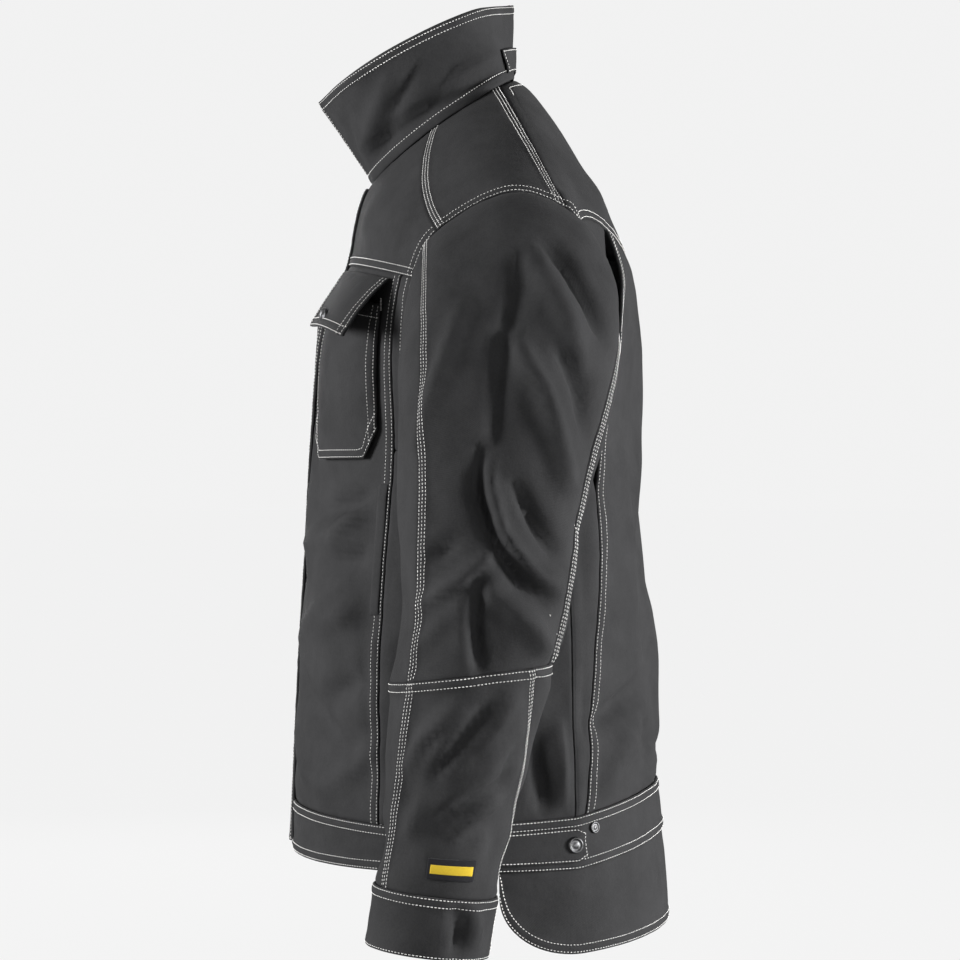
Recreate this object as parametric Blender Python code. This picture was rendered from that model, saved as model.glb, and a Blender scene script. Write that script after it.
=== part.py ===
"""Canvas work jacket, worn shape: body panels, collar, sleeves, pockets, waistband and front zip.

Frame: origin at the centre of the neck base, the front faces -Y, the wearer's left is +X, up is +Z.
Every panel is a patch of one of three surfaces (torso, sleeve, collar) given its cloth thickness.
"""

import math

import bpy
import numpy as np

# Driving dimensions, metres
CLOTH = 0.0024          # canvas, two layers at the seams
SEAM_GAP = 0.0010       # half the gap between neighbouring panels
OVERLAY = 0.0022        # how far a pocket or band lies above the panel under it
CHAIN_HALF = 0.0030     # half the width of the closed zip chain
TAPE_HALF = 0.0110      # half the width of the two zip tapes together
PLACKET_HALF = 0.0230   # half the width of the storm placket
SNAP_RADIUS = 0.0070    # cap of a press stud
ZIP_TOP = (-0.1120, -0.170)      # (y, z) of the straight chain's ends
ZIP_BOTTOM = (-0.1380, -0.650)
PLACKET_LIFT = 0.0086   # outer face of the placket, above the plane of the zip

# Levels of the torso, from the hem of the front, over the shoulder, to the hem of the back
TAIL, HEM, WAIST, BELLY, MIDRIFF, ARMPIT, CHEST, YOKE, NECK, RIDGE = range(10)
LAST = 19               # level LAST - n of the back stands at the height of level n of the front

CENTRE_LINE = (         # (y, z) on the plane of symmetry at each level
    (-0.140, -0.730), (-0.140, -0.665), (-0.139, -0.620), (-0.1345, -0.500), (-0.1285, -0.400),
    (-0.1230, -0.300), (-0.114, -0.200), (-0.090, -0.128), (-0.070, -0.052), (0.000, 0.025),
    (0.062, 0.046), (0.115, -0.020), (0.162, -0.110), (0.174, -0.200), (0.176, -0.300),
    (0.184, -0.400), (0.189, -0.500), (0.193, -0.600), (0.198, -0.645), (0.205, -0.728),
)
ARM_LINE = (            # (x, y, z) of the line that bounds the sleeve and then the side
    (0.196, -0.040, -0.735), (0.196, -0.040, -0.664), (0.196, -0.040, -0.626), (0.195, -0.040, -0.500),
    (0.193, -0.036, -0.400), (0.190, -0.028, -0.300), (0.204, -0.032, -0.215), (0.218, -0.026, -0.152),
    (0.229, -0.005, -0.112), (0.236, 0.055, -0.080), (0.231, 0.103, -0.093), (0.221, 0.124, -0.124),
    (0.210, 0.128, -0.160), (0.199, 0.122, -0.215), (0.190, 0.100, -0.300), (0.193, 0.108, -0.400),
    (0.195, 0.112, -0.500), (0.196, 0.114, -0.617), (0.197, 0.116, -0.662), (0.198, 0.118, -0.735),
)
ROUNDNESS = (70,) * 6 + (64, 54, 44, 40, 44, 50, 58, 66) + (70,) * 6     # degrees of arc per half
DROOP = (1.0,) * 6 + (0.95, 0.85, 0.75, 0.70, 0.75, 0.85, 0.92, 0.97) + (1.0,) * 6
SIDE_BULGE = 0.019      # how far the side stands out between the two arm lines

NECK_REACH = 0.31       # share of the shoulder taken by the neck opening
FRONT_SIDE_SEAM = 0.90  # share of the front's arc where the side panel starts
PLEAT_TOP, PLEAT_FOOT = 0.55, 0.93      # shares of the back's arc where the action pleat's seam runs

SLEEVE_RINGS = (        # z, front y, back y, inner x, outer x, rise of the front over the middle
    (-0.380, -0.044, 0.110, 0.236, 0.366, 0.000), (-0.430, -0.042, 0.101, 0.240, 0.367, -0.003),
    (-0.4850, -0.046, 0.088, 0.242, 0.364, -0.008), (-0.549, -0.050, 0.070, 0.242, 0.358, -0.003),
    (-0.606, -0.054, 0.058, 0.243, 0.352, 0.002), (-0.666, -0.057, 0.045, 0.245, 0.347, 0.006),
    (-0.716, -0.064, 0.038, 0.243, 0.347, 0.006),
)
ELBOW_SEAM, CUFF_TOP, CUFF_END = 3, 6, 7    # places along the sleeve

FABRIC_COLOUR = (0.045, 0.045, 0.048)


# Curves and surfaces

def through(points, place):
    """Catmull-Rom curve through the points; place 0 is the first point, 1 the second, and so on."""
    points = np.asarray(points, float)
    if points.ndim == 1:
        points = points[:, None]
    first = int(min(max(math.floor(place), 0), len(points) - 2))
    t = place - first
    before = points[first - 1] if first > 0 else 2 * points[0] - points[1]
    after = points[first + 2] if first + 2 < len(points) else 2 * points[-1] - points[-2]
    start, end = points[first], points[first + 1]
    rise, fall = (end - before) / 2, (after - start) / 2
    return ((2 * t**3 - 3 * t**2 + 1) * start + (t**3 - 2 * t**2 + t) * rise
            + (3 * t**2 - 2 * t**3) * end + (t**3 - t**2) * fall)


def torso(across, level):
    """Front and back of the body: across is 0 on the centre line, 1 on the left arm line, -1 on the right."""
    centre_y, centre_z = through(CENTRE_LINE, level)
    arm_x, arm_y, arm_z = through(ARM_LINE, level)
    arc = math.radians(through(ROUNDNESS, level)[0])
    turn = (1 - math.cos(across * arc)) / (1 - math.cos(arc))
    drop = turn ** through(DROOP, level)[0]
    return np.array((arm_x * math.sin(across * arc) / math.sin(arc),
                     centre_y + (arm_y - centre_y) * turn, centre_z + (arm_z - centre_z) * drop))


def around(place, level):
    """Below the armpit: place is 0 at the front centre, 1 and 2 on the arm lines, 3 at the back centre,
    and 6 at the front centre again."""
    if place > 3:
        return around(6 - place, level) * (-1, 1, 1)
    if place <= 1:
        return torso(place, level)
    if place >= 2:
        return torso(3 - place, LAST - level)
    front, back = through(ARM_LINE, level), through(ARM_LINE, LAST - level)
    share = place - 1
    bulge = (SIDE_BULGE * 4 * share * (1 - share), 0, 0)
    return front * (1 - share) + back * share + bulge


def under_arm(place):
    """(place, level) of the lowest part of the armhole, between the arm lines."""
    return place, ARMPIT - 0.35 * math.sin(math.pi * min(max(place - 1, 0), 1))


def armhole(angle):
    """Point of the left armhole: 0 on the shoulder, 90 in front, 180 under the arm, 270 behind."""
    angle = (angle + 180) % 360 - 180
    lower = 120
    if 0 <= angle <= lower:
        return through(ARM_LINE, RIDGE - (RIDGE - ARMPIT) * angle / lower)
    if -lower <= angle < 0:
        return through(ARM_LINE, RIDGE - (LAST - ARMPIT - RIDGE) * angle / lower)
    share = (angle % 360 - lower) / (360 - 2 * lower)
    return around(*under_arm(1 + share))


def sleeve_ring(angle, place):
    """Point of the sleeve below the armpit: 0 outside, 90 in front, 180 inside, 270 behind."""
    z, front, back, inner, outer, rise = through(SLEEVE_RINGS, place - 1)
    turn = math.radians(angle)
    return np.array(((inner + outer) / 2 + (outer - inner) / 2 * math.cos(turn),
                     (front + back) / 2 + (front - back) / 2 * math.sin(turn), z + rise * math.sin(turn)))


def sleeve(angle, place):
    """Left sleeve: place is 0 on the armhole and 1 to 7 on the rings."""
    if place >= 1:
        return sleeve_ring(angle, place)
    start, end = armhole(angle), sleeve_ring(angle, 1)
    reach = 0.85 * np.linalg.norm(end - start)
    backward = max(0.0, -math.sin(math.radians(angle)))
    leave = reach * np.array((0.90, 0.75 * backward, -0.30))
    arrive = reach * np.array((0.0, 0.0, -1.0))
    t = place
    return ((2 * t**3 - 3 * t**2 + 1) * start + (t**3 - 2 * t**2 + t) * leave
            + (3 * t**2 - 2 * t**3) * end + (t**3 - t**2) * arrive)


def neck_seam(place):
    """(across, level) of the neck seam: place is 0 in front, 1 at the back centre, 2 in front again."""
    turn = math.pi * place
    return NECK_REACH * math.sin(turn), RIDGE - math.cos(turn)


COLLAR_TOP = ((0.010, -0.119, 0.024), (0.066, -0.088, 0.042), (0.090, -0.036, 0.070),
              (0.078, 0.026, 0.099), (0.000, 0.062, 0.116))


def collar(place, height):
    """Stand collar: place as on the neck seam, height 0 on the seam and 1 on the top edge."""
    side = 1 if place <= 1 else -1
    share = place if place <= 1 else 2 - place
    foot = torso(*neck_seam(share)) + (0.006 * (1 - share), 0, 0.004)
    top = through(COLLAR_TOP, 4 * share)
    lean = 0.010 * math.sin(math.pi * height) * math.sin(math.pi * share)
    point = foot * (1 - height) + top * height - (lean, 0, 0)
    return point * (side, 1, 1)


# Solids

def material(name, colour, roughness=0.9, metallic=0.0):
    found = bpy.data.materials.get(name)
    if found:
        return found
    made = bpy.data.materials.new(name)
    made.use_nodes = True
    shader = made.node_tree.nodes["Principled BSDF"]
    shader.inputs["Base Color"].default_value = (*colour, 1)
    shader.inputs["Roughness"].default_value = roughness
    shader.inputs["Metallic"].default_value = metallic
    return made


def canvas():
    return material("canvas", FABRIC_COLOUR)


def metal():
    return material("snap_metal", (0.25, 0.25, 0.26), 0.35, 1.0)


def zip_metal():
    return material("zip_metal", (0.35, 0.34, 0.32), 0.4, 1.0)


def new_object(name, points, faces, finish, origin=(0, 0, 0)):
    mesh = bpy.data.meshes.new(name)
    mesh.from_pydata([tuple(np.subtract(p, origin)) for p in points], [], faces)
    mesh.validate()
    mesh.shade_smooth()
    mesh.set_sharp_from_angle(angle=math.radians(40))
    mesh.materials.append(finish)
    made = bpy.data.objects.new(name, mesh)
    made.location = origin
    bpy.context.collection.objects.link(made)
    return made


def volume_of(points, faces):
    total = 0.0
    for face in faces:
        for second, third in zip(face[1:-1], face[2:]):
            total += np.dot(points[face[0]], np.cross(points[second], points[third]))
    return total


def pulled_in(grid, gap):
    """Moves the outer rows of a grid of points towards their neighbours, which leaves the seam gap."""
    grid = grid.copy()
    for edge, inner in (((0, slice(None)), (1, slice(None))), ((-1, slice(None)), (-2, slice(None))),
                        ((slice(None), 0), (slice(None), 1)), ((slice(None), -1), (slice(None), -2))):
        step = grid[inner] - grid[edge]
        length = np.maximum(np.linalg.norm(step, axis=-1, keepdims=True), 1e-9)
        grid[edge] += step / length * np.minimum(gap, 0.4 * length)
    return grid


def normals_of(grid, inside):
    across = np.gradient(grid, axis=0)
    along = np.gradient(grid, axis=1)
    normals = np.cross(across, along)
    normals /= np.linalg.norm(normals, axis=-1, keepdims=True)
    away = np.einsum("ijk,ijk->ij", normals, grid - np.asarray(inside))
    return normals if away.sum() > 0 else -normals


def shell(name, grid, inside, lift=0.0, thickness=CLOTH, gap=SEAM_GAP, finish=None, origin=(0, 0, 0)):
    """A closed solid whose outer face is the grid of points lifted along its outward normals."""
    grid = pulled_in(np.asarray(grid, float), gap)
    normals = normals_of(grid, inside)
    rows, columns = grid.shape[:2]
    outer = (grid + normals * np.asarray(lift)[..., None]).reshape(-1, 3)
    inner = outer - normals.reshape(-1, 3) * thickness
    points = np.concatenate([outer, inner])
    back = rows * columns

    def at(row, column):
        return row * columns + column

    faces = []
    for row in range(rows - 1):
        for column in range(columns - 1):
            quad = [at(row, column), at(row + 1, column), at(row + 1, column + 1), at(row, column + 1)]
            faces.append(quad)
            faces.append([back + corner for corner in reversed(quad)])
    rim = [at(0, c) for c in range(columns)] + [at(r, columns - 1) for r in range(1, rows)]
    rim += [at(rows - 1, c) for c in range(columns - 2, -1, -1)] + [at(r, 0) for r in range(rows - 2, 0, -1)]
    for here, there in zip(rim, rim[1:] + rim[:1]):
        faces.append([here, there, back + there, back + here])
    if volume_of(points, faces) < 0:
        faces = [face[::-1] for face in faces]
    return new_object(name, points, faces, finish or canvas(), origin)


def ruled(surface, first, second, rows, columns):
    """Grid of a surface between two edges, each given as a function of 0 to 1 in the surface's own terms."""
    grid = np.empty((rows + 1, columns + 1, 3))
    for row, u in enumerate(np.linspace(0, 1, rows + 1)):
        start, end = np.array(first(u), float), np.array(second(u), float)
        for column, v in enumerate(np.linspace(0, 1, columns + 1)):
            grid[row, column] = surface(*(start * (1 - v) + end * v))
    return grid


def mirrored(grid):
    return np.asarray(grid) * (-1, 1, 1)


BODY_CENTRE = (0.0, 0.03, -0.30)


def pair(name, grid, inside=BODY_CENTRE, **options):
    """The same panel on the wearer's left and right."""
    shell(name + "_left", grid, inside, **options)
    shell(name + "_right", mirrored(grid), np.multiply(inside, (-1, 1, 1)), **options)


def turned(name, profile, centre, axis, finish, steps=16):
    """Solid of revolution: profile is (radius, height) from the foot to the top, heights along axis."""
    axis = np.asarray(axis, float) / np.linalg.norm(axis)
    side = np.cross(axis, (0, 0, 1) if abs(axis[2]) < 0.9 else (1, 0, 0))
    side /= np.linalg.norm(side)
    other = np.cross(axis, side)
    points, faces = [], []
    for radius, height in profile:
        for step in range(steps):
            turn = 2 * math.pi * step / steps
            points.append(np.asarray(centre) + axis * height
                          + radius * (side * math.cos(turn) + other * math.sin(turn)))
    for ring in range(len(profile) - 1):
        for step in range(steps):
            after = (step + 1) % steps
            faces.append([ring * steps + step, ring * steps + after,
                          (ring + 1) * steps + after, (ring + 1) * steps + step])
    faces.append(list(range(steps))[::-1])
    top = (len(profile) - 1) * steps
    faces.append([top + step for step in range(steps)])
    if volume_of(points, faces) < 0:
        faces = [face[::-1] for face in faces]
    return new_object(name, points, faces, finish)


def loft(name, sections, finish):
    """Closed solid through rings of points of equal count."""
    count = len(sections[0])
    points = [point for section in sections for point in section]
    faces = [list(range(count))[::-1], [len(points) - count + step for step in range(count)]]
    for ring in range(len(sections) - 1):
        for step in range(count):
            after = (step + 1) % count
            faces.append([ring * count + step, ring * count + after,
                          (ring + 1) * count + after, (ring + 1) * count + step])
    points = np.asarray(points, float)
    if volume_of(points, faces) < 0:
        faces = [face[::-1] for face in faces]
    return new_object(name, points, faces, finish)


# Body

FRONT_EDGE = 0.062                      # share of the arc where each front starts, beside the zip
FRONT_NECK, BACK_NECK = 0.42, 0.76      # places on the neck seam where the shoulder panel ends


def shoulder_seam(neck_place, arm_level, u):
    start, end = np.array(neck_seam(neck_place)), np.array((1.0, arm_level))
    return start * (1 - u) + end * u


def shoulder_front_edge(u):
    """Upper edge of the front yoke: round the neck, then along the front triple seam."""
    turn = 0.35
    if u < turn:
        return neck_seam(FRONT_EDGE + (FRONT_NECK - FRONT_EDGE) * u / turn)
    return shoulder_seam(FRONT_NECK, NECK, (u - turn) / (1 - turn))


def back_yoke_top(u):
    """From the left armhole along the back triple seam, round the neck, to the right armhole."""
    side = 1 if u <= 0.5 else -1
    share = 2 * u if u <= 0.5 else 2 - 2 * u
    turn = 0.6
    if share < turn:
        across, level = shoulder_seam(BACK_NECK, RIDGE + 1, 1 - share / turn)
    else:
        across, level = neck_seam(BACK_NECK + (1 - BACK_NECK) * (share - turn) / (1 - turn))
    return side * across, level


def below_yoke(across):
    """(across, level) on the back yoke seam, which rises towards the armholes."""
    return across, 12.1 - 1.6 * abs(across) ** 2.2


def pleat_line(u):
    """(across, level) on the left action pleat's seam, from the yoke down to the waistband."""
    top, foot = np.array(below_yoke(PLEAT_TOP)), np.array((PLEAT_FOOT, LAST - WAIST))
    return top * (1 - u) + foot * u


def body_panels():
    pair("front_panel", ruled(torso, lambda u: (FRONT_EDGE, WAIST + (YOKE - WAIST) * u),
                              lambda u: (FRONT_SIDE_SEAM, WAIST + (YOKE - WAIST) * u), 12, 6))
    pair("front_yoke", ruled(torso, lambda u: (FRONT_EDGE + (1 - FRONT_EDGE) * u, YOKE),
                             shoulder_front_edge, 8, 4))
    pair("shoulder_panel", ruled(torso, lambda u: shoulder_seam(FRONT_NECK, NECK, u),
                                 lambda u: shoulder_seam(BACK_NECK, RIDGE + 1, u), 6, 5))
    shell("back_yoke", ruled(torso, back_yoke_top, lambda u: below_yoke(1 - 2 * u), 16, 4), BODY_CENTRE)
    shell("back_centre_panel", ruled(torso, lambda u: below_yoke(PLEAT_TOP * (1 - 2 * u)),
                                     lambda u: (PLEAT_FOOT * (1 - 2 * u), LAST - WAIST), 10, 10), BODY_CENTRE)
    pair("side_back_panel", ruled(torso, lambda u: below_yoke(PLEAT_TOP + (1 - PLEAT_TOP) * u),
                                  lambda u: (PLEAT_FOOT + (1 - PLEAT_FOOT) * u, LAST - WAIST), 3, 10))
    pair("side_panel", ruled(around, lambda u: (FRONT_SIDE_SEAM + (2 - FRONT_SIDE_SEAM) * u, WAIST),
                             lambda u: under_arm(FRONT_SIDE_SEAM + (2 - FRONT_SIDE_SEAM) * u), 9, 7))
    pair("armhole_front_strip", ruled(torso, lambda u: (FRONT_SIDE_SEAM, ARMPIT + (YOKE - ARMPIT) * u),
                                      lambda u: (1.0, ARMPIT + (YOKE - ARMPIT) * u), 5, 1))


def action_pleats():
    """The folded cloth under each edge of the back's centre panel, down to its bartack."""
    bartack, half_width, depth = 0.50, 0.09, -0.0065

    def edge(side):
        return lambda u: pleat_line(0.03 + (bartack - 0.03) * u) + (side * half_width, 0)

    pair("action_pleat", ruled(torso, edge(-1), edge(1), 5, 2), lift=depth, thickness=CLOTH / 2)


def collar_pieces():
    centre = (0, 0, 0.04)
    outer = ruled(collar, lambda u: (2 * u, 0.0), lambda u: (2 * u, 1.0), 22, 4)
    shell("collar_outer", outer, centre, thickness=CLOTH / 2)
    shell("collar_inner", outer, centre, lift=-CLOTH / 2 - 0.0018, thickness=CLOTH / 2)
    reach = 0.16
    tab = ruled(collar, lambda u: (1 - reach + 2 * reach * u, 0.06), lambda u: (1 - reach + 2 * reach * u, 0.40),
                6, 1)
    shell("neck_tab", tab, centre, lift=OVERLAY + 0.001, thickness=CLOTH / 2, gap=0.0)


def waistband():
    lift, side_seam = 0.0012, 1.5
    pair("waistband_front", ruled(around, lambda u: (FRONT_EDGE + (side_seam - FRONT_EDGE) * u, HEM),
                                  lambda u: (FRONT_EDGE + (side_seam - FRONT_EDGE) * u, WAIST), 9, 1), lift=lift)
    shell("waistband_back", ruled(around, lambda u: (side_seam + (6 - 2 * side_seam) * u, HEM),
                                  lambda u: (side_seam + (6 - 2 * side_seam) * u, WAIST), 18, 1),
          BODY_CENTRE, lift=lift)


def tail_edge(u):
    """Lower edge of the back tail, with a round corner at each side."""
    start, corner, side_drop = 1.56, 0.42, 0.35
    place = start + (6 - 2 * start) * u
    inward = min(place - start, 6 - start - place) / corner
    drop = side_drop + (1 - side_drop) * math.sqrt(1 - (1 - min(inward, 1.0)) ** 2)
    return place, HEM + (TAIL - HEM) * drop


def back_tail():
    shell("back_tail", ruled(around, lambda u: (tail_edge(u)[0], HEM), tail_edge, 24, 3), BODY_CENTRE)


# Pockets and tabs

def chest_level(share):
    """Level on the front panel: 0 at the pocket's foot, 1 at the yoke seam."""
    return 4.93 + (YOKE - 0.06 - 4.93) * share


POCKET_INNER, POCKET_OUTER, POCKET_MOUTH = 0.30, 0.82, 0.80
FLAP_FOOT, FLAP_TOP = 0.60, 0.985


def flap_lift(across, share):
    """The stiff flap leans out over the pocket's mouth, most of all at its outer lower corner."""
    outward = min(max((across - POCKET_INNER) / (POCKET_OUTER - POCKET_INNER), 0), 1)
    return 0.0050 + (0.0135 + 0.028 * outward ** 1.5) * (FLAP_TOP - share) / (FLAP_TOP - FLAP_FOOT)


def pocket_lift(width_share, share):
    """The bag lies flat at its sewn sides and bellows out in the middle."""
    belly = math.sin(math.pi * (0.15 + 0.70 * share / POCKET_MOUTH))
    return OVERLAY + 0.0008 + 0.0105 * math.sin(math.pi * width_share) ** 0.6 * belly


def flap_surface(across, share):
    point, normal = spot_on(torso, (across, chest_level(share)), BODY_CENTRE)
    return point + normal * flap_lift(across, share)


def pocket_surface(across, share):
    point, normal = spot_on(torso, (across, chest_level(share)), BODY_CENTRE)
    width_share = (across - POCKET_INNER) / (POCKET_OUTER - POCKET_INNER)
    return point + normal * pocket_lift(min(max(width_share, 0), 1), share)


def chest_pockets():
    width = POCKET_OUTER - POCKET_INNER
    bag = ruled(pocket_surface, lambda u: (POCKET_INNER + width * u, 0),
                lambda u: (POCKET_INNER + width * u, POCKET_MOUTH), 8, 6)
    pair("chest_pocket", bag, thickness=CLOTH / 2, gap=0.0)
    margin = 0.03
    flap = ruled(flap_surface, lambda u: (POCKET_INNER - margin + (width + 2 * margin) * u, FLAP_FOOT),
                 lambda u: (POCKET_INNER - margin + (width + 2 * margin) * u, FLAP_TOP), 8, 4)
    pair("pocket_flap", flap, gap=0.0)
    middle, height = (POCKET_INNER + POCKET_OUTER) / 2, 0.723
    for side, suffix in ((1, "left"), (-1, "right")):
        point, normal = spot_on(flap_surface, (middle, height), BODY_CENTRE, side)
        snap("flap_snap_" + suffix, point + normal * 0.0009, normal)
        point, normal = spot_on(pocket_surface, (middle, height), BODY_CENTRE, side)
        snap("pocket_stud_" + suffix, point + normal * 0.0009, normal, radius=0.0045, height=0.0014)


def hand_pockets():
    welt = ruled(torso, lambda u: (0.83, 3.55 + 1.15 * u), lambda u: (0.885, 3.55 + 1.15 * u), 5, 1)
    pair("hand_pocket_welt", welt, lift=OVERLAY, thickness=CLOTH / 2, gap=0.0)


def waist_tabs():
    start, end, point_length = 1.44, 2.04, 0.05
    middle, half = (HEM + WAIST) / 2, 0.38

    def edge(side):
        def place(u):
            along = start + (end - start) * u
            taper = min(1.0, 0.75 + 0.25 * (end - along) / point_length)
            return along, middle + side * half * taper
        return place

    pair("waist_tab", ruled(around, edge(-1), edge(1), 7, 1), lift=0.0065, gap=0.0)
    for side, suffix in ((1, "left"), (-1, "right")):
        point, normal = spot_on(around, (1.87, middle), BODY_CENTRE, side)
        snap("tab_snap_" + suffix, point + normal * 0.0075, normal)
        point, normal = spot_on(around, (2.11, middle + 0.10), BODY_CENTRE, side)
        snap("tab_stud_" + suffix, point + normal * 0.0019, normal, radius=0.0050, height=0.0018)


def spot_on(surface, place, inside, side=1):
    """Point and outward normal of a surface, on the wearer's left (side 1) or right (-1)."""
    step = 0.01
    point = surface(*place)
    first = surface(place[0] + step, place[1]) - point
    second = surface(place[0], place[1] + step) - point
    normal = np.cross(first, second)
    normal /= np.linalg.norm(normal)
    if np.dot(normal, point - np.asarray(inside)) < 0:
        normal = -normal
    return point * (side, 1, 1), normal * (side, 1, 1)


def snap(name, foot, normal, radius=SNAP_RADIUS, height=0.0022):
    profile = ((radius, 0), (radius, height * 0.45), (radius * 0.86, height * 0.85),
               (radius * 0.55, height), (radius * 0.15, height))
    turned(name, profile, foot, normal, metal())


# Front closure

ZIP_DOWN = np.array((0, ZIP_BOTTOM[0] - ZIP_TOP[0], ZIP_BOTTOM[1] - ZIP_TOP[1]))
ZIP_LENGTH = float(np.linalg.norm(ZIP_DOWN))
ZIP_DOWN = ZIP_DOWN / ZIP_LENGTH
ZIP_OUT = np.array((0, ZIP_DOWN[2], -ZIP_DOWN[1]))


def on_zip(x, along, out):
    """Point at x, a distance down the chain from its top, and a height above the plane of the zip."""
    return np.array((x, ZIP_TOP[0], ZIP_TOP[1])) + ZIP_DOWN * along + ZIP_OUT * out


def zip_bar(name, outline, start, end, finish, pieces=1):
    """Straight bar along the zip whose section is an outline of (x, out)."""
    loft(name, [[on_zip(x, along, out) for x, out in outline] for along in np.linspace(start, end, pieces + 1)],
         finish)


def rectangle(left, right, low, high):
    return ((left, low), (right, low), (right, high), (left, high))


def front_zip():
    chain_gap, chain_out, tape_out = 0.0004, 0.0012, 0.0005
    for side, suffix in ((1, "left"), (-1, "right")):
        zip_bar("zip_chain_" + suffix, rectangle(side * chain_gap, side * CHAIN_HALF, -chain_out, chain_out),
                0, ZIP_LENGTH, zip_metal(), 2)
        zip_bar("zip_tape_" + suffix, rectangle(side * (CHAIN_HALF + 0.0003), side * TAPE_HALF, -tape_out, tape_out),
                0, ZIP_LENGTH, canvas(), 2)
    web, flange, near, far, length = 0.0002, 0.0042, 0.0015, 0.0027, 0.012
    outline = ((flange, near), (flange, far), (-flange, far), (-flange, near), (-web, near), (-web, -near),
               (-flange, -near), (-flange, -far), (flange, -far), (flange, -near), (web, -near), (web, near))
    zip_bar("zip_slider", outline, 0.001, 0.001 + length, zip_metal())
    zip_bar("zip_pull", rectangle(-0.003, 0.003, far + 0.0006, far + 0.0017), 0.004, 0.034, zip_metal(), 2)
    zip_bar("zip_stop", rectangle(-0.004, 0.004, -0.002, 0.002), ZIP_LENGTH + 0.0003, ZIP_LENGTH + 0.005, zip_metal())


def placket():
    outline = rectangle(-PLACKET_HALF, PLACKET_HALF, PLACKET_LIFT - CLOTH, PLACKET_LIFT)
    zip_bar("storm_placket", outline, 0.004, ZIP_LENGTH + 0.008, canvas(), 6)
    upper = ruled(torso, lambda u: (-0.10 + 0.20 * u, 6.55), lambda u: (-0.10 + 0.20 * u, NECK - 0.05), 4, 5)
    shell("upper_placket", upper, BODY_CENTRE, lift=OVERLAY + CLOTH / 2, gap=0.0)


# Sleeves

SLEEVE_CENTRE = (0.295, 0.035, -0.40)
BACK_SEAM, VENT = -74, -88      # degrees round the sleeve


def front_seam(place):
    """Degrees from the outside of the sleeve to its front triple seam."""
    return 41 + 19 * min(place, CUFF_TOP) / CUFF_TOP


def back_seam(place):
    """The same to the back seam of the lower sleeve, which winds towards the inside."""
    return -52 - 19 * (place - ELBOW_SEAM)


def sleeves():
    pair("upper_sleeve_outer", ruled(sleeve, lambda u: (BACK_SEAM, ELBOW_SEAM * u),
                                     lambda u: (front_seam(ELBOW_SEAM * u), ELBOW_SEAM * u), 12, 8), SLEEVE_CENTRE)
    pair("upper_sleeve_under", ruled(sleeve, lambda u: (front_seam(ELBOW_SEAM * u), ELBOW_SEAM * u),
                                     lambda u: (360 + BACK_SEAM, ELBOW_SEAM * u), 12, 10), SLEEVE_CENTRE)

    def lower(u):
        return ELBOW_SEAM + (CUFF_TOP - ELBOW_SEAM) * u

    pair("lower_sleeve_outer", ruled(sleeve, lambda u: (back_seam(lower(u)), lower(u)),
                                     lambda u: (front_seam(lower(u)), lower(u)), 5, 8), SLEEVE_CENTRE)
    pair("lower_sleeve_under", ruled(sleeve, lambda u: (front_seam(lower(u)), lower(u)),
                                     lambda u: (360 + back_seam(lower(u)), lower(u)), 5, 10), SLEEVE_CENTRE)
    pair("cuff", ruled(sleeve, lambda u: (VENT + 360 * u, CUFF_TOP), lambda u: (VENT + 360 * u, CUFF_END), 20, 2),
         SLEEVE_CENTRE, lift=0.001)
    badge = ruled(sleeve, lambda u: (4 - 44 * u, 5.75), lambda u: (4 - 44 * u, 5.45), 4, 1)
    shell("sleeve_badge", badge, SLEEVE_CENTRE, lift=OVERLAY, thickness=0.0008, gap=0.0,
          finish=material("badge", (0.55, 0.42, 0.03), 0.7))


def build():
    for old in list(bpy.data.objects):
        bpy.data.objects.remove(old)
    body_panels()
    action_pleats()
    collar_pieces()
    waistband()
    back_tail()
    chest_pockets()
    hand_pockets()
    waist_tabs()
    front_zip()
    placket()
    sleeves()


build()
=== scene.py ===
"""Looks of a black canvas work jacket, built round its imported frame.

Every cloth piece is a fine patch of the same torso, sleeve and collar surfaces as the frame's panels,
with folds, felled seams and thickness added, and every stitch is a short thread on its cloth.
"""

import math

import bpy
import numpy as np
from mathutils import Matrix, Vector, noise
from mathutils.bvhtree import BVHTree
from mathutils.kdtree import KDTree


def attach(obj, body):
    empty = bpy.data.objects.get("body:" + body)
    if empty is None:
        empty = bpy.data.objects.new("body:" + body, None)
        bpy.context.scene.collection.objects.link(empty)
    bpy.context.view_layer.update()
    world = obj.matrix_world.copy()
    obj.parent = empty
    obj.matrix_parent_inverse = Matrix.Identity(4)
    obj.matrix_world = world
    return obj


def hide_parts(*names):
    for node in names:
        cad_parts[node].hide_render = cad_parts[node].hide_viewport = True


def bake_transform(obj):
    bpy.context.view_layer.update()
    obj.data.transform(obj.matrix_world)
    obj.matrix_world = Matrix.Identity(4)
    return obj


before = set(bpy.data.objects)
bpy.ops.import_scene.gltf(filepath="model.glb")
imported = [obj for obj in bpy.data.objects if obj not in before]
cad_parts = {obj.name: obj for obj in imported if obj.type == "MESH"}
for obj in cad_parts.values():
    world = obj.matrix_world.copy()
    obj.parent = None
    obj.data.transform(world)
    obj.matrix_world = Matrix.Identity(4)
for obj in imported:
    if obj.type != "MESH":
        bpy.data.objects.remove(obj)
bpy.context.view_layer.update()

# The garment's cut, as in the frame: metres, but tables in millimetres

CLOTH = 0.0024
OVERLAY = 0.0022
ZIP_TOP = (-0.1120, -0.170)
ZIP_BOTTOM = (-0.1380, -0.650)

SIDES = ((1, "_left"), (-1, "_right"))

# Rows of the centre and arm lines, from the front hem over the shoulder to the back hem
TAIL, HEM, WAIST, ARMPIT, YOKE, NECK, RIDGE, LAST = 0, 1, 2, 5, 7, 8, 9, 19

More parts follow.
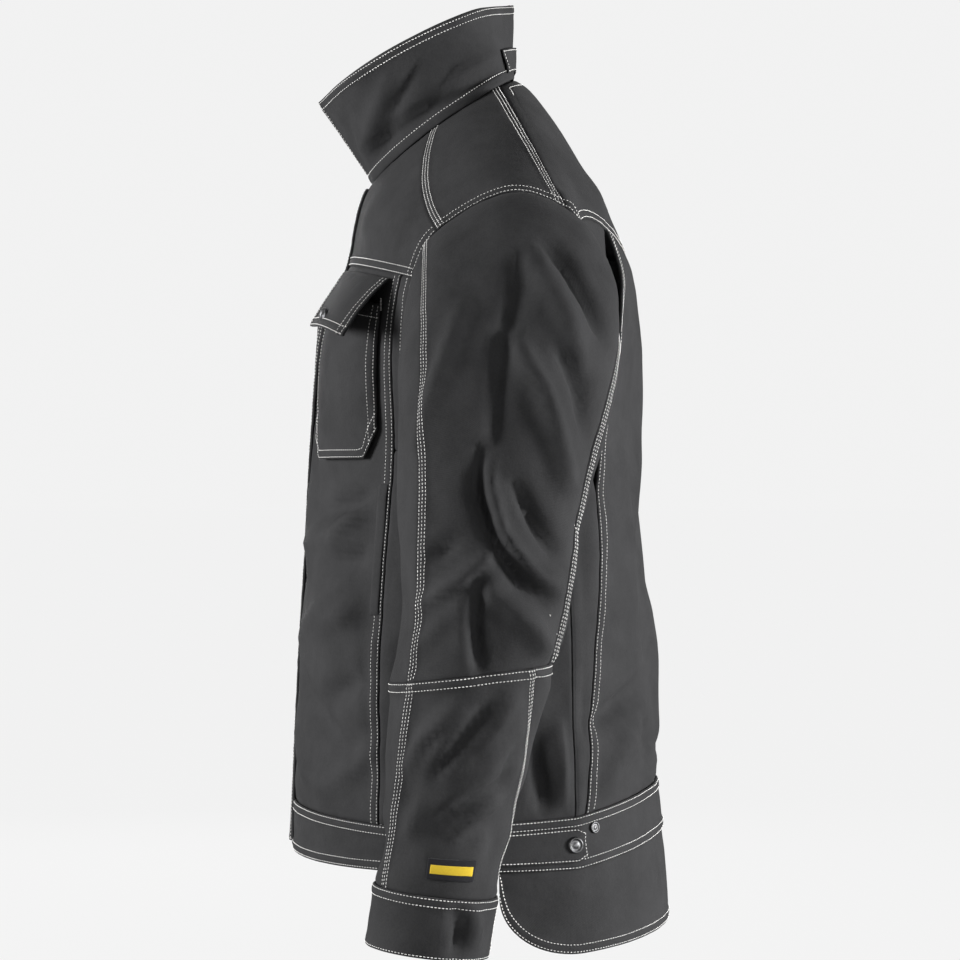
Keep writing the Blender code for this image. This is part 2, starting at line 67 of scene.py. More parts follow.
CENTRE_LINE = np.array((
    (-140, -730), (-140, -665), (-139, -620), (-134.5, -500), (-128.5, -400),
    (-123, -300), (-114, -200), (-90, -128), (-70, -52), (0, 25),
    (62, 46), (115, -20), (162, -110), (174, -200), (176, -300),
    (184, -400), (189, -500), (193, -600), (198, -645), (205, -728),
), float) / 1000
ARM_LINE = np.array((
    (196, -40, -735), (196, -40, -664), (196, -40, -626), (195, -40, -500),
    (193, -36, -400), (190, -28, -300), (204, -32, -215), (218, -26, -152),
    (229, -5, -112), (236, 55, -80), (231, 103, -93), (221, 124, -124),
    (210, 128, -160), (199, 122, -215), (190, 100, -300), (193, 108, -400),
    (195, 112, -500), (196, 114, -617), (197, 116, -662), (198, 118, -735),
), float) / 1000
ROUNDNESS = np.array((70,) * 6 + (64, 54, 44, 40, 44, 50, 58, 66) + (70,) * 6, float)
DROOP = np.array((1.0,) * 6 + (0.95, 0.85, 0.75, 0.70, 0.75, 0.85, 0.92, 0.97) + (1.0,) * 6)
SIDE_BULGE = 0.019

NECK_REACH = 0.31
FRONT_SIDE_SEAM = 0.90
PLEAT_TOP, PLEAT_FOOT = 0.55, 0.93

SLEEVE_RINGS = np.array((
    (-380, -44, 110, 236, 366, 0), (-430, -42, 101, 240, 367, -3),
    (-485, -46, 88, 242, 364, -8), (-549, -50, 70, 242, 358, -3),
    (-606, -54, 58, 243, 352, 2), (-666, -57, 45, 245, 347, 6),
    (-716, -64, 38, 243, 347, 6),
), float) / 1000
ELBOW_SEAM, CUFF_TOP, CUFF_END = 3, 6, 7
BACK_SEAM, VENT = -74, -88
CAP_FULLNESS, CAP_OUT, CAP_BACK, CAP_DOWN = 0.85, 0.90, 0.75, 0.30      # how the sleeve leaves the armhole
COLLAR_TOP = np.array(((10, -119, 24), (66, -88, 42), (90, -36, 70),
                       (78, 26, 99), (0, 62, 116)), float) / 1000
FRONT_EDGE = 0.062
FRONT_NECK, BACK_NECK = 0.42, 0.76

BODY_CENTRE = np.array((0.0, 0.03, -0.30))
SLEEVE_CENTRE = np.array((0.295, 0.035, -0.40))
COLLAR_CENTRE = np.array((0.0, 0.0, 0.04))


# Surfaces: each takes arrays and gives an array of points

def together(*values):
    """The values as float arrays of one shape."""
    return np.broadcast_arrays(*(np.asarray(value, float) for value in values))


def hermite(t, start, leave, end, arrive):
    """Cubic curve from start to end, with the slopes that it leaves and arrives with."""
    return ((2 * t**3 - 3 * t**2 + 1) * start + (t**3 - 2 * t**2 + t) * leave
            + (3 * t**2 - 2 * t**3) * end + (t**3 - t**2) * arrive)


def unit(vectors, least=1e-12):
    return vectors / np.maximum(np.linalg.norm(vectors, axis=-1, keepdims=True), least)


def travelled(line):
    """Length along a line, from its start to each of its points."""
    return np.concatenate([[0], np.cumsum(np.linalg.norm(np.diff(line, axis=0), axis=1))])


def facing_out(grid, inside):
    """Unit normals of a grid of points, away from a point inside it, and whether they were turned round."""
    normals = unit(np.cross(np.gradient(grid, axis=0), np.gradient(grid, axis=1)))
    turned = np.einsum("ijk,ijk->ij", normals, grid - inside).sum() < 0
    return (-normals if turned else normals), turned


def through(points, place):
    """Catmull-Rom curve through the points; place 0 is the first point, 1 the second, and so on."""
    points = np.asarray(points, float)
    if points.ndim == 1:
        points = points[:, None]
    place = np.asarray(place, float)
    ends = np.concatenate([[2 * points[0] - points[1]], points, [2 * points[-1] - points[-2]]])
    first = np.clip(np.floor(place), 0, len(points) - 2).astype(int)
    t = (place - first)[..., None]
    before, start, end, after = (ends[first + step] for step in range(4))
    return hermite(t, start, (end - before) / 2, end, (after - start) / 2)


def torso(across, level):
    across, level = together(across, level)
    centre, arm = through(CENTRE_LINE, level), through(ARM_LINE, level)
    arc = np.radians(through(ROUNDNESS, level)[..., 0])
    turn = (1 - np.cos(across * arc)) / (1 - np.cos(arc))
    drop = turn ** through(DROOP, level)[..., 0]
    return np.stack([arm[..., 0] * np.sin(across * arc) / np.sin(arc),
                     centre[..., 0] + (arm[..., 1] - centre[..., 0]) * turn,
                     centre[..., 1] + (arm[..., 2] - centre[..., 1]) * drop], axis=-1)


def around(place, level):
    place, level = together(place, level)
    side = np.where(place > 3, -1.0, 1.0)
    near = np.where(place > 3, 6 - place, place)
    front = torso(np.minimum(near, 1), level)
    back = torso(np.minimum(3 - near, 1), LAST - level)
    share = np.clip(near - 1, 0, 1)[..., None]
    middle = through(ARM_LINE, level) * (1 - share) + through(ARM_LINE, LAST - level) * share
    middle[..., 0] += SIDE_BULGE * 4 * (share * (1 - share))[..., 0]
    points = np.where((near <= 1)[..., None], front, np.where((near >= 2)[..., None], back, middle))
    points[..., 0] *= side
    return points


def under_arm(place):
    return place, ARMPIT - 0.35 * np.sin(np.pi * np.clip(np.asarray(place) - 1, 0, 1))


def armhole(angle):
    angle = (np.asarray(angle, float) + 180) % 360 - 180
    lower = 120
    front = through(ARM_LINE, RIDGE - (RIDGE - ARMPIT) * angle / lower)
    back = through(ARM_LINE, RIDGE - (LAST - ARMPIT - RIDGE) * angle / lower)
    share = (angle % 360 - lower) / (360 - 2 * lower)
    below = around(*under_arm(1 + np.clip(share, 0, 1)))
    upper = np.where((angle >= 0)[..., None], front, back)
    return np.where((np.abs(angle) <= lower)[..., None], upper, below)


def sleeve_ring(angle, place):
    z, front, back, inner, outer, rise = np.moveaxis(through(SLEEVE_RINGS, np.asarray(place) - 1), -1, 0)
    turn = np.radians(angle)
    x = (inner + outer) / 2 + (outer - inner) / 2 * np.cos(turn)
    y = (front + back) / 2 + (front - back) / 2 * np.sin(turn)
    return np.stack([x, y, z + rise * np.sin(turn)], axis=-1)


def sleeve(angle, place):
    angle, place = together(angle, place)
    start, end = armhole(angle), sleeve_ring(angle, np.ones_like(place))
    reach = CAP_FULLNESS * np.linalg.norm(end - start, axis=-1, keepdims=True)
    backward = np.maximum(0, -np.sin(np.radians(angle)))
    leave = reach * np.stack([CAP_OUT + 0 * angle, CAP_BACK * backward, -CAP_DOWN + 0 * angle], axis=-1)
    arrive = reach * np.array((0.0, 0.0, -1.0))
    t = np.clip(place, 0, 1)[..., None]
    upper = hermite(t, start, leave, end, arrive)
    return np.where((place >= 1)[..., None], sleeve_ring(angle, np.maximum(place, 1)), upper)


def neck_seam(place):
    turn = np.pi * np.asarray(place, float)
    return NECK_REACH * np.sin(turn), RIDGE - np.cos(turn)


def collar(place, height):
    place, height = together(place, height)
    side = np.where(place <= 1, 1.0, -1.0)
    share = np.where(place <= 1, place, 2 - place)
    room, rise, hollow = 0.006, 0.004, 0.010
    foot = torso(*neck_seam(share)) + np.stack([room * (1 - share), 0 * share, rise + 0 * share], axis=-1)
    top = through(COLLAR_TOP, 4 * share)
    lean = hollow * np.sin(np.pi * height) * np.sin(np.pi * share)
    points = foot * (1 - height[..., None]) + top * height[..., None]
    points[..., 0] = (points[..., 0] - lean) * side
    return points


def shoulder_seam(neck_place, arm_level, u):
    across, level = neck_seam(neck_place)
    return across + (1 - across) * u, level + (arm_level - level) * u


def shoulder_front_edge(u):
    turn = 0.35
    round_neck = neck_seam(FRONT_EDGE + (FRONT_NECK - FRONT_EDGE) * np.minimum(u, turn) / turn)
    along_seam = shoulder_seam(FRONT_NECK, NECK, (np.maximum(u, turn) - turn) / (1 - turn))
    return tuple(np.where(u < turn, a, b) for a, b in zip(round_neck, along_seam))


def back_yoke_top(u):
    side = np.where(u <= 0.5, 1.0, -1.0)
    share = np.where(u <= 0.5, 2 * u, 2 - 2 * u)
    turn = 0.6
    seam = shoulder_seam(BACK_NECK, RIDGE + 1, 1 - np.minimum(share, turn) / turn)
    round_neck = neck_seam(BACK_NECK + (1 - BACK_NECK) * (np.maximum(share, turn) - turn) / (1 - turn))
    across, level = (np.where(share < turn, a, b) for a, b in zip(seam, round_neck))
    return side * across, level


def below_yoke(across):
    return across, 12.1 - 1.6 * np.abs(across) ** 2.2


def pleat_line(u):
    top, foot = below_yoke(PLEAT_TOP), (PLEAT_FOOT, LAST - WAIST)
    return top[0] * (1 - u) + foot[0] * u, top[1] * (1 - u) + foot[1] * u


def tail_edge(u):
    start, corner, side_drop = 1.56, 0.42, 0.35
    place = start + (6 - 2 * start) * np.asarray(u, float)
    inward = np.minimum(place - start, 6 - start - place) / corner
    drop = side_drop + (1 - side_drop) * np.sqrt(1 - (1 - np.minimum(inward, 1.0)) ** 2)
    return place, HEM + (TAIL - HEM) * drop


def front_seam(place):
    return 41 + 19 * np.minimum(place, CUFF_TOP) / CUFF_TOP


def back_seam(place):
    return -52 - 19 * (place - ELBOW_SEAM)


# Folds: ridges and hollows along drawn lines, in millimetres, each as (points, height, half width)

SLEEVE_FOLDS = (        # points are (y, z) on the outside of either sleeve
    # hollow behind the cap, rolling over to the back edge
    (((86, -128), (104, -148), (120, -175), (133, -205)), -6, 7.5),
    (((74, -140), (90, -165), (105, -195), (112, -225)), 4, 11),
    # long hollow down the middle of the upper sleeve, between two ridges
    (((66, -135), (58, -180), (46, -230), (44, -290)), -5, 12),
    (((55, -200), (68, -222), (84, -250), (94, -290), (100, -330)), 5, 9.5),
    (((16, -180), (6, -215), (-12, -262), (-22, -300)), 4.2, 10),
    (((100, -220), (112, -250), (118, -290)), -4.5, 8),
    # hollow and ridge that cross the sleeve above the elbow
    (((30, -300), (29, -335), (42, -372), (64, -408), (86, -425)), -7, 8),
    (((36, -315), (48, -368), (74, -402), (94, -412)), 5, 8.5),
    (((62, -330), (76, -360), (90, -385)), -5, 7),
    (((42, -384), (20, -402), (-18, -426)), 5.2, 8.5),
    (((10, -376), (-12, -390)), -4, 9),
    (((30, -408), (27, -440), (31, -480)), -6.8, 7.5),
    (((40, -416), (70, -440), (84, -468)), 5.8, 12),
    (((0, -440), (-22, -462)), 3, 11),
    (((96, -440), (110, -452)), -4, 6),
    # lower sleeve
    (((12, -510), (-16, -534), (-30, -560)), 4.8, 8.5),
    (((54, -505), (44, -522), (32, -540)), 4.2, 8),
    (((34, -512), (14, -540), (-6, -566)), -4.5, 7.5),
    (((60, -540), (48, -566)), -3.8, 7),
    (((56, -584), (32, -600), (8, -616)), 4.5, 7),
    (((50, -570), (24, -586), (0, -600)), -4.5, 7),
    (((-20, -590), (-30, -615)), 3, 9),
    (((40, -618), (28, -634)), 3, 8),
    # cuff
    (((12, -672), (13, -700), (10, -716)), -4, 5),
    (((26, -672), (27, -712)), 3, 7),
)
SIDE_FOLDS = (          # (y, z) on the flank of the body, seen beside the sleeve
    (((-45, -322), (-72, -345), (-100, -352)), -4.5, 9),
    (((-50, -340), (-82, -362), (-98, -380)), 4.5, 9),
    (((-48, -362), (-70, -392), (-96, -400)), -4, 10),
    (((-60, -432), (-100, -452)), 4, 13),
    (((-66, -396), (-68, -440), (-67, -520)), -1.6, 3),
    (((-72, -500), (-104, -520)), -3.5, 12),
    (((-60, -560), (-96, -590)), 3.5, 13),
    (((135, -350), (132, -400), (136, -450)), 2.5, 12),
    (((178, -500), (150, -525), (128, -540)), -4.5, 10),
    (((180, -530), (155, -560), (140, -600)), 3.5, 11),
    (((100, -540), (104, -600)), 4, 8),
    (((80, -550), (86, -610)), -4, 8),
    (((100, -80), (112, -100), (118, -118)), 3.5, 6),
    (((94, -92), (104, -110), (110, -128)), -3.5, 6),
)
FRONT_FOLDS = (         # (x, z) on either front
    (((160, -330), (110, -350), (60, -362)), -4, 11),
    (((160, -352), (100, -378), (50, -384)), 4, 11),
    (((150, -420), (90, -452), (40, -470)), 3.5, 13),
    (((60, -500), (110, -530), (160, -560)), -3.5, 12),
    (((45, -555), (90, -585), (140, -600)), 4, 11),
    (((80, -90), (120, -110), (150, -118)), 2, 12),
)
BACK_FOLDS = (          # (x, z) on either half of the back
    (((60, -160), (52, -240), (60, -330)), 3, 18),
    (((100, -330), (80, -400), (86, -480)), -3.5, 16),
    (((30, -400), (44, -480), (40, -560)), 3.5, 15),
    (((140, -520), (90, -555), (30, -570)), -4, 11),
    (((150, -555), (100, -585), (60, -600)), 4, 10),
    (((60, -60), (100, -75), (130, -90)), 2.5, 12),
)
FOLD_DEPTH, FOLD_SHARPNESS = 2.5, 0.74
DOUBLED_CLOTH, AT_SEAM = 0.12, 0.35     # shares of the folds that are left there
SEAM_REACH = 0.018


def ridge(flat, line, height, width):
    """Height over points (n, 2) of a ridge along a line, round in section and running out at its ends."""
    line = np.asarray(line, float)
    lengths = np.linalg.norm(np.diff(line, axis=0), axis=1)
    starts = np.concatenate([[0], np.cumsum(lengths)])
    nearest = np.full(len(flat), np.inf)
    place = np.zeros(len(flat))
    for first, second, start, length in zip(line, line[1:], starts, lengths):
        share = np.clip((flat - first) @ (second - first) / length**2, 0, 1)
        away = np.linalg.norm(flat - first - share[:, None] * (second - first), axis=1)
        closer = away < nearest
        nearest = np.where(closer, away, nearest)
        place = np.where(closer, (start + share * length) / starts[-1], place)
    run_out = np.sin(np.pi * np.clip(0.12 + 0.76 * place, 0, 1)) ** 0.7
    return height * run_out * np.exp(-((nearest / (FOLD_SHARPNESS * width)) ** 2))


def rough(points, size, stretch=(1, 1, 1), seed=0.0):
    """Smooth noise from -1 to 1 at every point, with features of the given size."""
    scaled = points / size * np.asarray(stretch) + seed
    return np.array([noise.noise(Vector(point)) for point in scaled])


def folds_on(points, normals, sets):
    """Sum of the fold sets, each (folds, axes of the plane, axis that faces it, its sign)."""
    total = np.zeros(len(points))
    plane = np.abs(points)
    plane[:, 1:] = points[:, 1:]
    for folds, axes, facing, sign in sets:
        side = np.abs(normals[:, 0]) if facing == 0 else sign * normals[:, facing]
        weight = np.clip((side - 0.15) / 0.35, 0, 1)
        depth = FOLD_DEPTH if facing == 0 else 0.5 * FOLD_DEPTH
        for line, height, width in folds:
            raised = ridge(plane[:, axes], np.array(line) / 1000, height / 1000, width / 1000)
            total += depth * weight * raised
    return total


def drawn_on_body(points, normals):
    drawn = folds_on(points, normals, ((SIDE_FOLDS, (1, 2), 0, 1), (FRONT_FOLDS, (0, 2), 1, -1),
                                       (BACK_FOLDS, (0, 2), 1, 1)))
    soft = 0.0022 * rough(points, 0.085, (1, 1, 0.55), 3.1) + 0.0010 * rough(points, 0.034, seed=7.7)
    return drawn + soft


def drawn_on_sleeve(points, normals):
    outward = np.clip(normals[:, :1], 0, 1)
    drawn = folds_on(points, outward * normals, ((SLEEVE_FOLDS, (1, 2), 0, 1),))
    inner = np.clip(-normals[:, 0] + 0.4, 0, 1)
    slanted = points[:, 2] * 95 + points[:, 1] * 70 + 4.0 * rough(points, 0.09, seed=1.3)
    soft = 0.0018 * rough(points, 0.060, (1, 1, 0.7), 5.2) + 0.0011 * rough(points, 0.027, seed=9.4)
    return drawn + soft + 0.0018 * inner * np.sin(slanted) * np.abs(rough(points, 0.11, seed=6.1)) ** 0.5


# Wrinkles: a coarse cloth, cut a little too large, settles from its seams under its own weight

FRAMES = 24


def hang(points, closed, pinned, growth):
    """Tree of the grid of points (rows, columns, 3) settled as cloth, held where pinned is 1."""
    shape = points.shape[:2]
    index = np.arange(shape[0] * shape[1]).reshape(shape)
    before = index if closed else index[:, :-1]
    after = np.roll(index, -1, axis=1) if closed else index[:, 1:]
    faces = np.stack([before[:-1], after[:-1], after[1:], before[1:]], axis=-1).reshape(-1, 4)
    mesh = bpy.data.meshes.new("hanging")
    mesh.from_pydata(points.reshape(-1, 3).tolist(), [], faces.tolist())
    hanging = bpy.data.objects.new("hanging", mesh)
    scene = bpy.context.scene
    scene.collection.objects.link(hanging)
    hanging.vertex_groups.new(name="sewn").add(np.flatnonzero(pinned.reshape(-1)).tolist(), 1.0, "REPLACE")
    modifier = hanging.modifiers.new("cloth", "CLOTH")
    cloth = modifier.settings
    cloth.quality = 5
    cloth.mass = 0.02
    cloth.tension_stiffness = cloth.compression_stiffness = 15
    cloth.shear_stiffness = 5
    cloth.bending_stiffness = 0.8
    cloth.air_damping = 2.0
    cloth.vertex_group_mass = "sewn"
    cloth.shrink_min = -growth
    cloth.effector_weights.gravity = 0.3
    modifier.point_cache.frame_start, modifier.point_cache.frame_end = 1, FRAMES
    for step in range(1, FRAMES + 1):
        scene.frame_set(step)
    tree = BVHTree.FromObject(hanging, bpy.context.evaluated_depsgraph_get())
    bpy.data.objects.remove(hanging)
    bpy.data.meshes.remove(mesh)
    scene.frame_set(1)
    return tree


class Wrinkles:
    """How far a settled cloth stands off the shape it started from, sampled anywhere near it."""
    SEARCH, NEAREST, SMOOTHING = 0.035, 16, 4

    def __init__(self, base, inside, drawn, closed, pinned, growth, low, high):
        normals = facing_out(base, inside)[0]
        flat, facing = base.reshape(-1, 3), normals.reshape(-1, 3)
        started = drawn(flat, facing)
        self.spacing = float(np.median(np.linalg.norm(np.diff(base, axis=0), axis=-1)))
        self.extra = np.zeros(len(flat))
        self.tree = KDTree(len(flat))
        for place, point in enumerate(flat):
            self.tree.insert(point, place)
        self.tree.balance()
        shape = base + normals * started.reshape(base.shape[:2])[..., None]
        settled = hang(shape, closed, pinned, growth)
        for place, (point, normal) in enumerate(zip(flat, facing)):
            hit = settled.ray_cast(Vector(point - normal * self.SEARCH), Vector(normal), 2 * self.SEARCH)
            if hit[0] is not None:
                self.extra[place] = hit[3] - self.SEARCH - started[place]
        self.extra = self.smoothed(self.extra.reshape(pinned.shape), closed) * (1 - pinned.reshape(-1))
        limit = np.where(self.extra > 0, high, low)
        self.extra = limit * np.tanh(self.extra / limit)

    def smoothed(self, grid, closed):
        for _ in range(self.SMOOTHING):
            wide = np.pad(grid, ((0, 0), (1, 1)), "wrap" if closed else "edge")
            grid = (wide[:, :-2] + 2 * grid + wide[:, 2:]) / 4
            tall = np.pad(grid, ((1, 1), (0, 0)), "edge")
            grid = (tall[:-2] + 2 * grid + tall[2:]) / 4
        return grid.reshape(-1)

    def at(self, points):
        if not self.extra.any():
            return np.zeros(len(points))
        found = np.empty(len(points))
        for place, point in enumerate(points):
            near = self.tree.find_n(point, self.NEAREST)
            weights = [math.exp(-((distance / self.spacing) ** 2)) + 1e-12 for _, _, distance in near]
            found[place] = sum(w * self.extra[i] for w, (_, i, _) in zip(weights, near)) / sum(weights)
        return found


def evenly(line, start, end, count):
    """Places from start to end that lie equally far apart along the line."""
    places = np.linspace(start, end, 400)
    lengths = travelled(line(places))
    return np.interp(np.linspace(0, lengths[-1], count), lengths, places)


def sleeve_wrinkles():
    outer_line = lambda places: sleeve(0 * places, places)
    angles = np.arange(0, 360, 360 / 76)[None, :]
    places = evenly(outer_line, 0, CUFF_TOP, 96)[:, None]
    base = sleeve(angles + 0 * places, places + 0 * angles)
    pinned = np.zeros(base.shape[:2])
    pinned[0] = pinned[-1] = 1
    return Wrinkles(base, SLEEVE_CENTRE, drawn_on_sleeve, True, pinned, growth=0.05, low=0.010, high=0.009)


def body_wrinkles():
    round_waist = lambda places: around(places, WAIST + 0 * places)
    up_front = lambda levels: around(0.5 + 0 * levels, levels)
    places = evenly(round_waist, FRONT_EDGE, 3.0, 84)[None, :]
    levels = evenly(up_front, WAIST, YOKE, 72)[:, None]
    base = around(places + 0 * levels, levels + 0 * places)
    pinned = np.zeros(base.shape[:2])
    pinned[0] = pinned[-1] = 1
    pinned[:, 0] = pinned[:, -1] = 1
    return Wrinkles(base, BODY_CENTRE, drawn_on_body, False, pinned, growth=0.035, low=0.0055, high=0.005)


on_sleeve, on_body = sleeve_wrinkles(), body_wrinkles()


def quiet(points, corners, margin):
    """Less than 1 inside a box round the corners: doubled cloth, such as a pocket, creases less."""
    low, high = corners.min(axis=0), corners.max(axis=0)
    outside = np.linalg.norm(np.maximum(0, np.maximum(low - points, points - high)), axis=1)
    return DOUBLED_CLOTH + (1 - DOUBLED_CLOTH) * np.clip(outside / margin, 0, 1)


# Boxes with quiet cloth, each as the low and high ends of both parameters
POCKET_BOX = ((0.27, 0.85), (4.90, YOKE))
WELT_BOX = ((0.82, 0.90), (3.50, 4.75))
BADGE_BOX = ((12, -36), (5.42, 5.78))


def corners_of(surface, box):
    (left, right), (low, high) = box
    return surface(np.array((left, right, left, right)), np.array((low, low, high, high)))


def body_folds(points, normals, _):
    mirrored = np.abs(points[:, :1]) * (1, 0, 0) + points * (0, 1, 1)
    calm = quiet(mirrored, corners_of(torso, POCKET_BOX), 0.022)
    calm = calm * quiet(mirrored, corners_of(torso, WELT_BOX), 0.018)
    return calm * (drawn_on_body(points, normals) + on_body.at(mirrored))


def sleeve_folds(points, normals, _):
    calm = quiet(points, corners_of(sleeve, BADGE_BOX), 0.020)
    return calm * (drawn_on_sleeve(points, normals) + on_sleeve.at(points))


def collar_folds(points, _, surface_place):
    """The collar's cloth bulges over its seam, and creases run down from its top edge to the throat."""
    place, height = surface_place
    share = np.where(place <= 1, place, 2 - place)
    reach = np.clip(share / 0.25, 0, 1) * np.clip((0.84 - share) / 0.12, 0, 1)
    swell = np.clip((height - 0.20) / 0.14, 0, 1)
    swell = swell * swell * (3 - 2 * swell) * (1 - 0.75 * np.clip((height - 0.25) / 0.55, 0, 1))
    total = 0.0075 * reach * swell - 0.0050 * reach * np.exp(-(((height - 0.155) / 0.055) ** 2))
    for line, size, width in COLLAR_CREASES:
        total += ridge(np.stack([share, height], axis=1), line, size, width)
    return total + 0.0012 * rough(points, 0.040, seed=2.2)


COLLAR_CREASES = (      # (place round the collar, height) on either half
    (((0.50, 0.74), (0.36, 0.42), (0.22, 0.10)), -0.0050, 0.040),
    (((0.42, 0.80), (0.26, 0.46), (0.14, 0.16)), 0.0045, 0.055),
    (((0.62, 0.50), (0.50, 0.30), (0.40, 0.16)), -0.0040, 0.040),
    (((0.14, 0.70), (0.10, 0.42), (0.06, 0.22)), -0.0028, 0.045),
    (((0.80, 0.42), (0.66, 0.26)), 0.0020, 0.050),
)


# Cloth

class Seam:
    """An edge's relief: a felled band of the given height and width, with rows of stitches along it."""

    def __init__(self, height, width, rows, start=0.0, end=1.0):
        self.height, self.width, self.rows = height, width, rows
        self.start, self.end = start, end


def edges(first=None, second=None, start=None, end=None):
    """The seams of a cloth's edges, without the edges that have none."""
    given = {"first": first, "second": second, "start": start, "end": end}
    return {edge: seam for edge, seam in given.items() if seam}


def straight(start, end):
    """A cloth's edge: the straight way between two places of its surface."""
    return lambda u: tuple(a + (b - a) * u for a, b in zip(start, end))


def tube_faces(rings, corners):
    """Faces of a tube whose rings of points follow each other, closed at both ends."""
    faces = []
    for low in range(0, (rings - 1) * corners, corners):
        for corner in range(corners):
            after = (corner + 1) % corners
            faces.append((low + corner, low + after, low + corners + after, low + corners + corner))
    last = (rings - 1) * corners
    return faces + [tuple(range(corners))[::-1], tuple(range(last, last + corners))]


NECK_ROW = 0.0095
DOUBLE_ROWS = (0.0014, 0.0076)
TRIPLE_ROWS = (0.0014, 0.0044, 0.0074)
FELLED = Seam(0.0009, 0.0090, DOUBLE_ROWS)
TRIPLE = Seam(0.0010, 0.0090, TRIPLE_ROWS)
HEM_EDGE = Seam(0.0008, 0.0095, (0.0018, 0.0080))
TOPSTITCHED = Seam(0.0004, 0.0030, (0.0018,))
TUCKED = Seam(-0.0004, 0.0015, ())

EDGE_STEPS = np.array((0.0, 0.0006, 0.0014, 0.0028, 0.0044, 0.0060, 0.0076, 0.0090, 0.0104, 0.0135))
CLOTH_STEP = 0.0058


def spacing(length):
    """Places along a stretch of cloth, close together where the seams at its ends have relief."""
    edge = EDGE_STEPS[EDGE_STEPS < 0.42 * length]
    inner = length - 2 * edge[-1]
    count = max(1, round(inner / CLOTH_STEP))
    middle = edge[-1] + inner * np.arange(1, count) / count
    return np.concatenate([edge, middle, (length - edge)[::-1]]) / length


def by_length(places, grid, axis):
    """Turns shares of the mean length into shares of the parameter."""
    steps = np.linalg.norm(np.diff(grid, axis=axis), axis=-1).mean(axis=1 - axis)
    lengths = np.concatenate([[0], np.cumsum(steps)])
    return np.interp(places, lengths / lengths[-1], np.linspace(0, 1, len(lengths))), lengths[-1]


def lengths_along(grid, axis):
    steps = np.linalg.norm(np.diff(grid, axis=axis), axis=-1)
    start = np.zeros_like(steps[:1] if axis == 0 else steps[:, :1])
    return np.concatenate([start, np.cumsum(steps, axis=axis)], axis=axis)


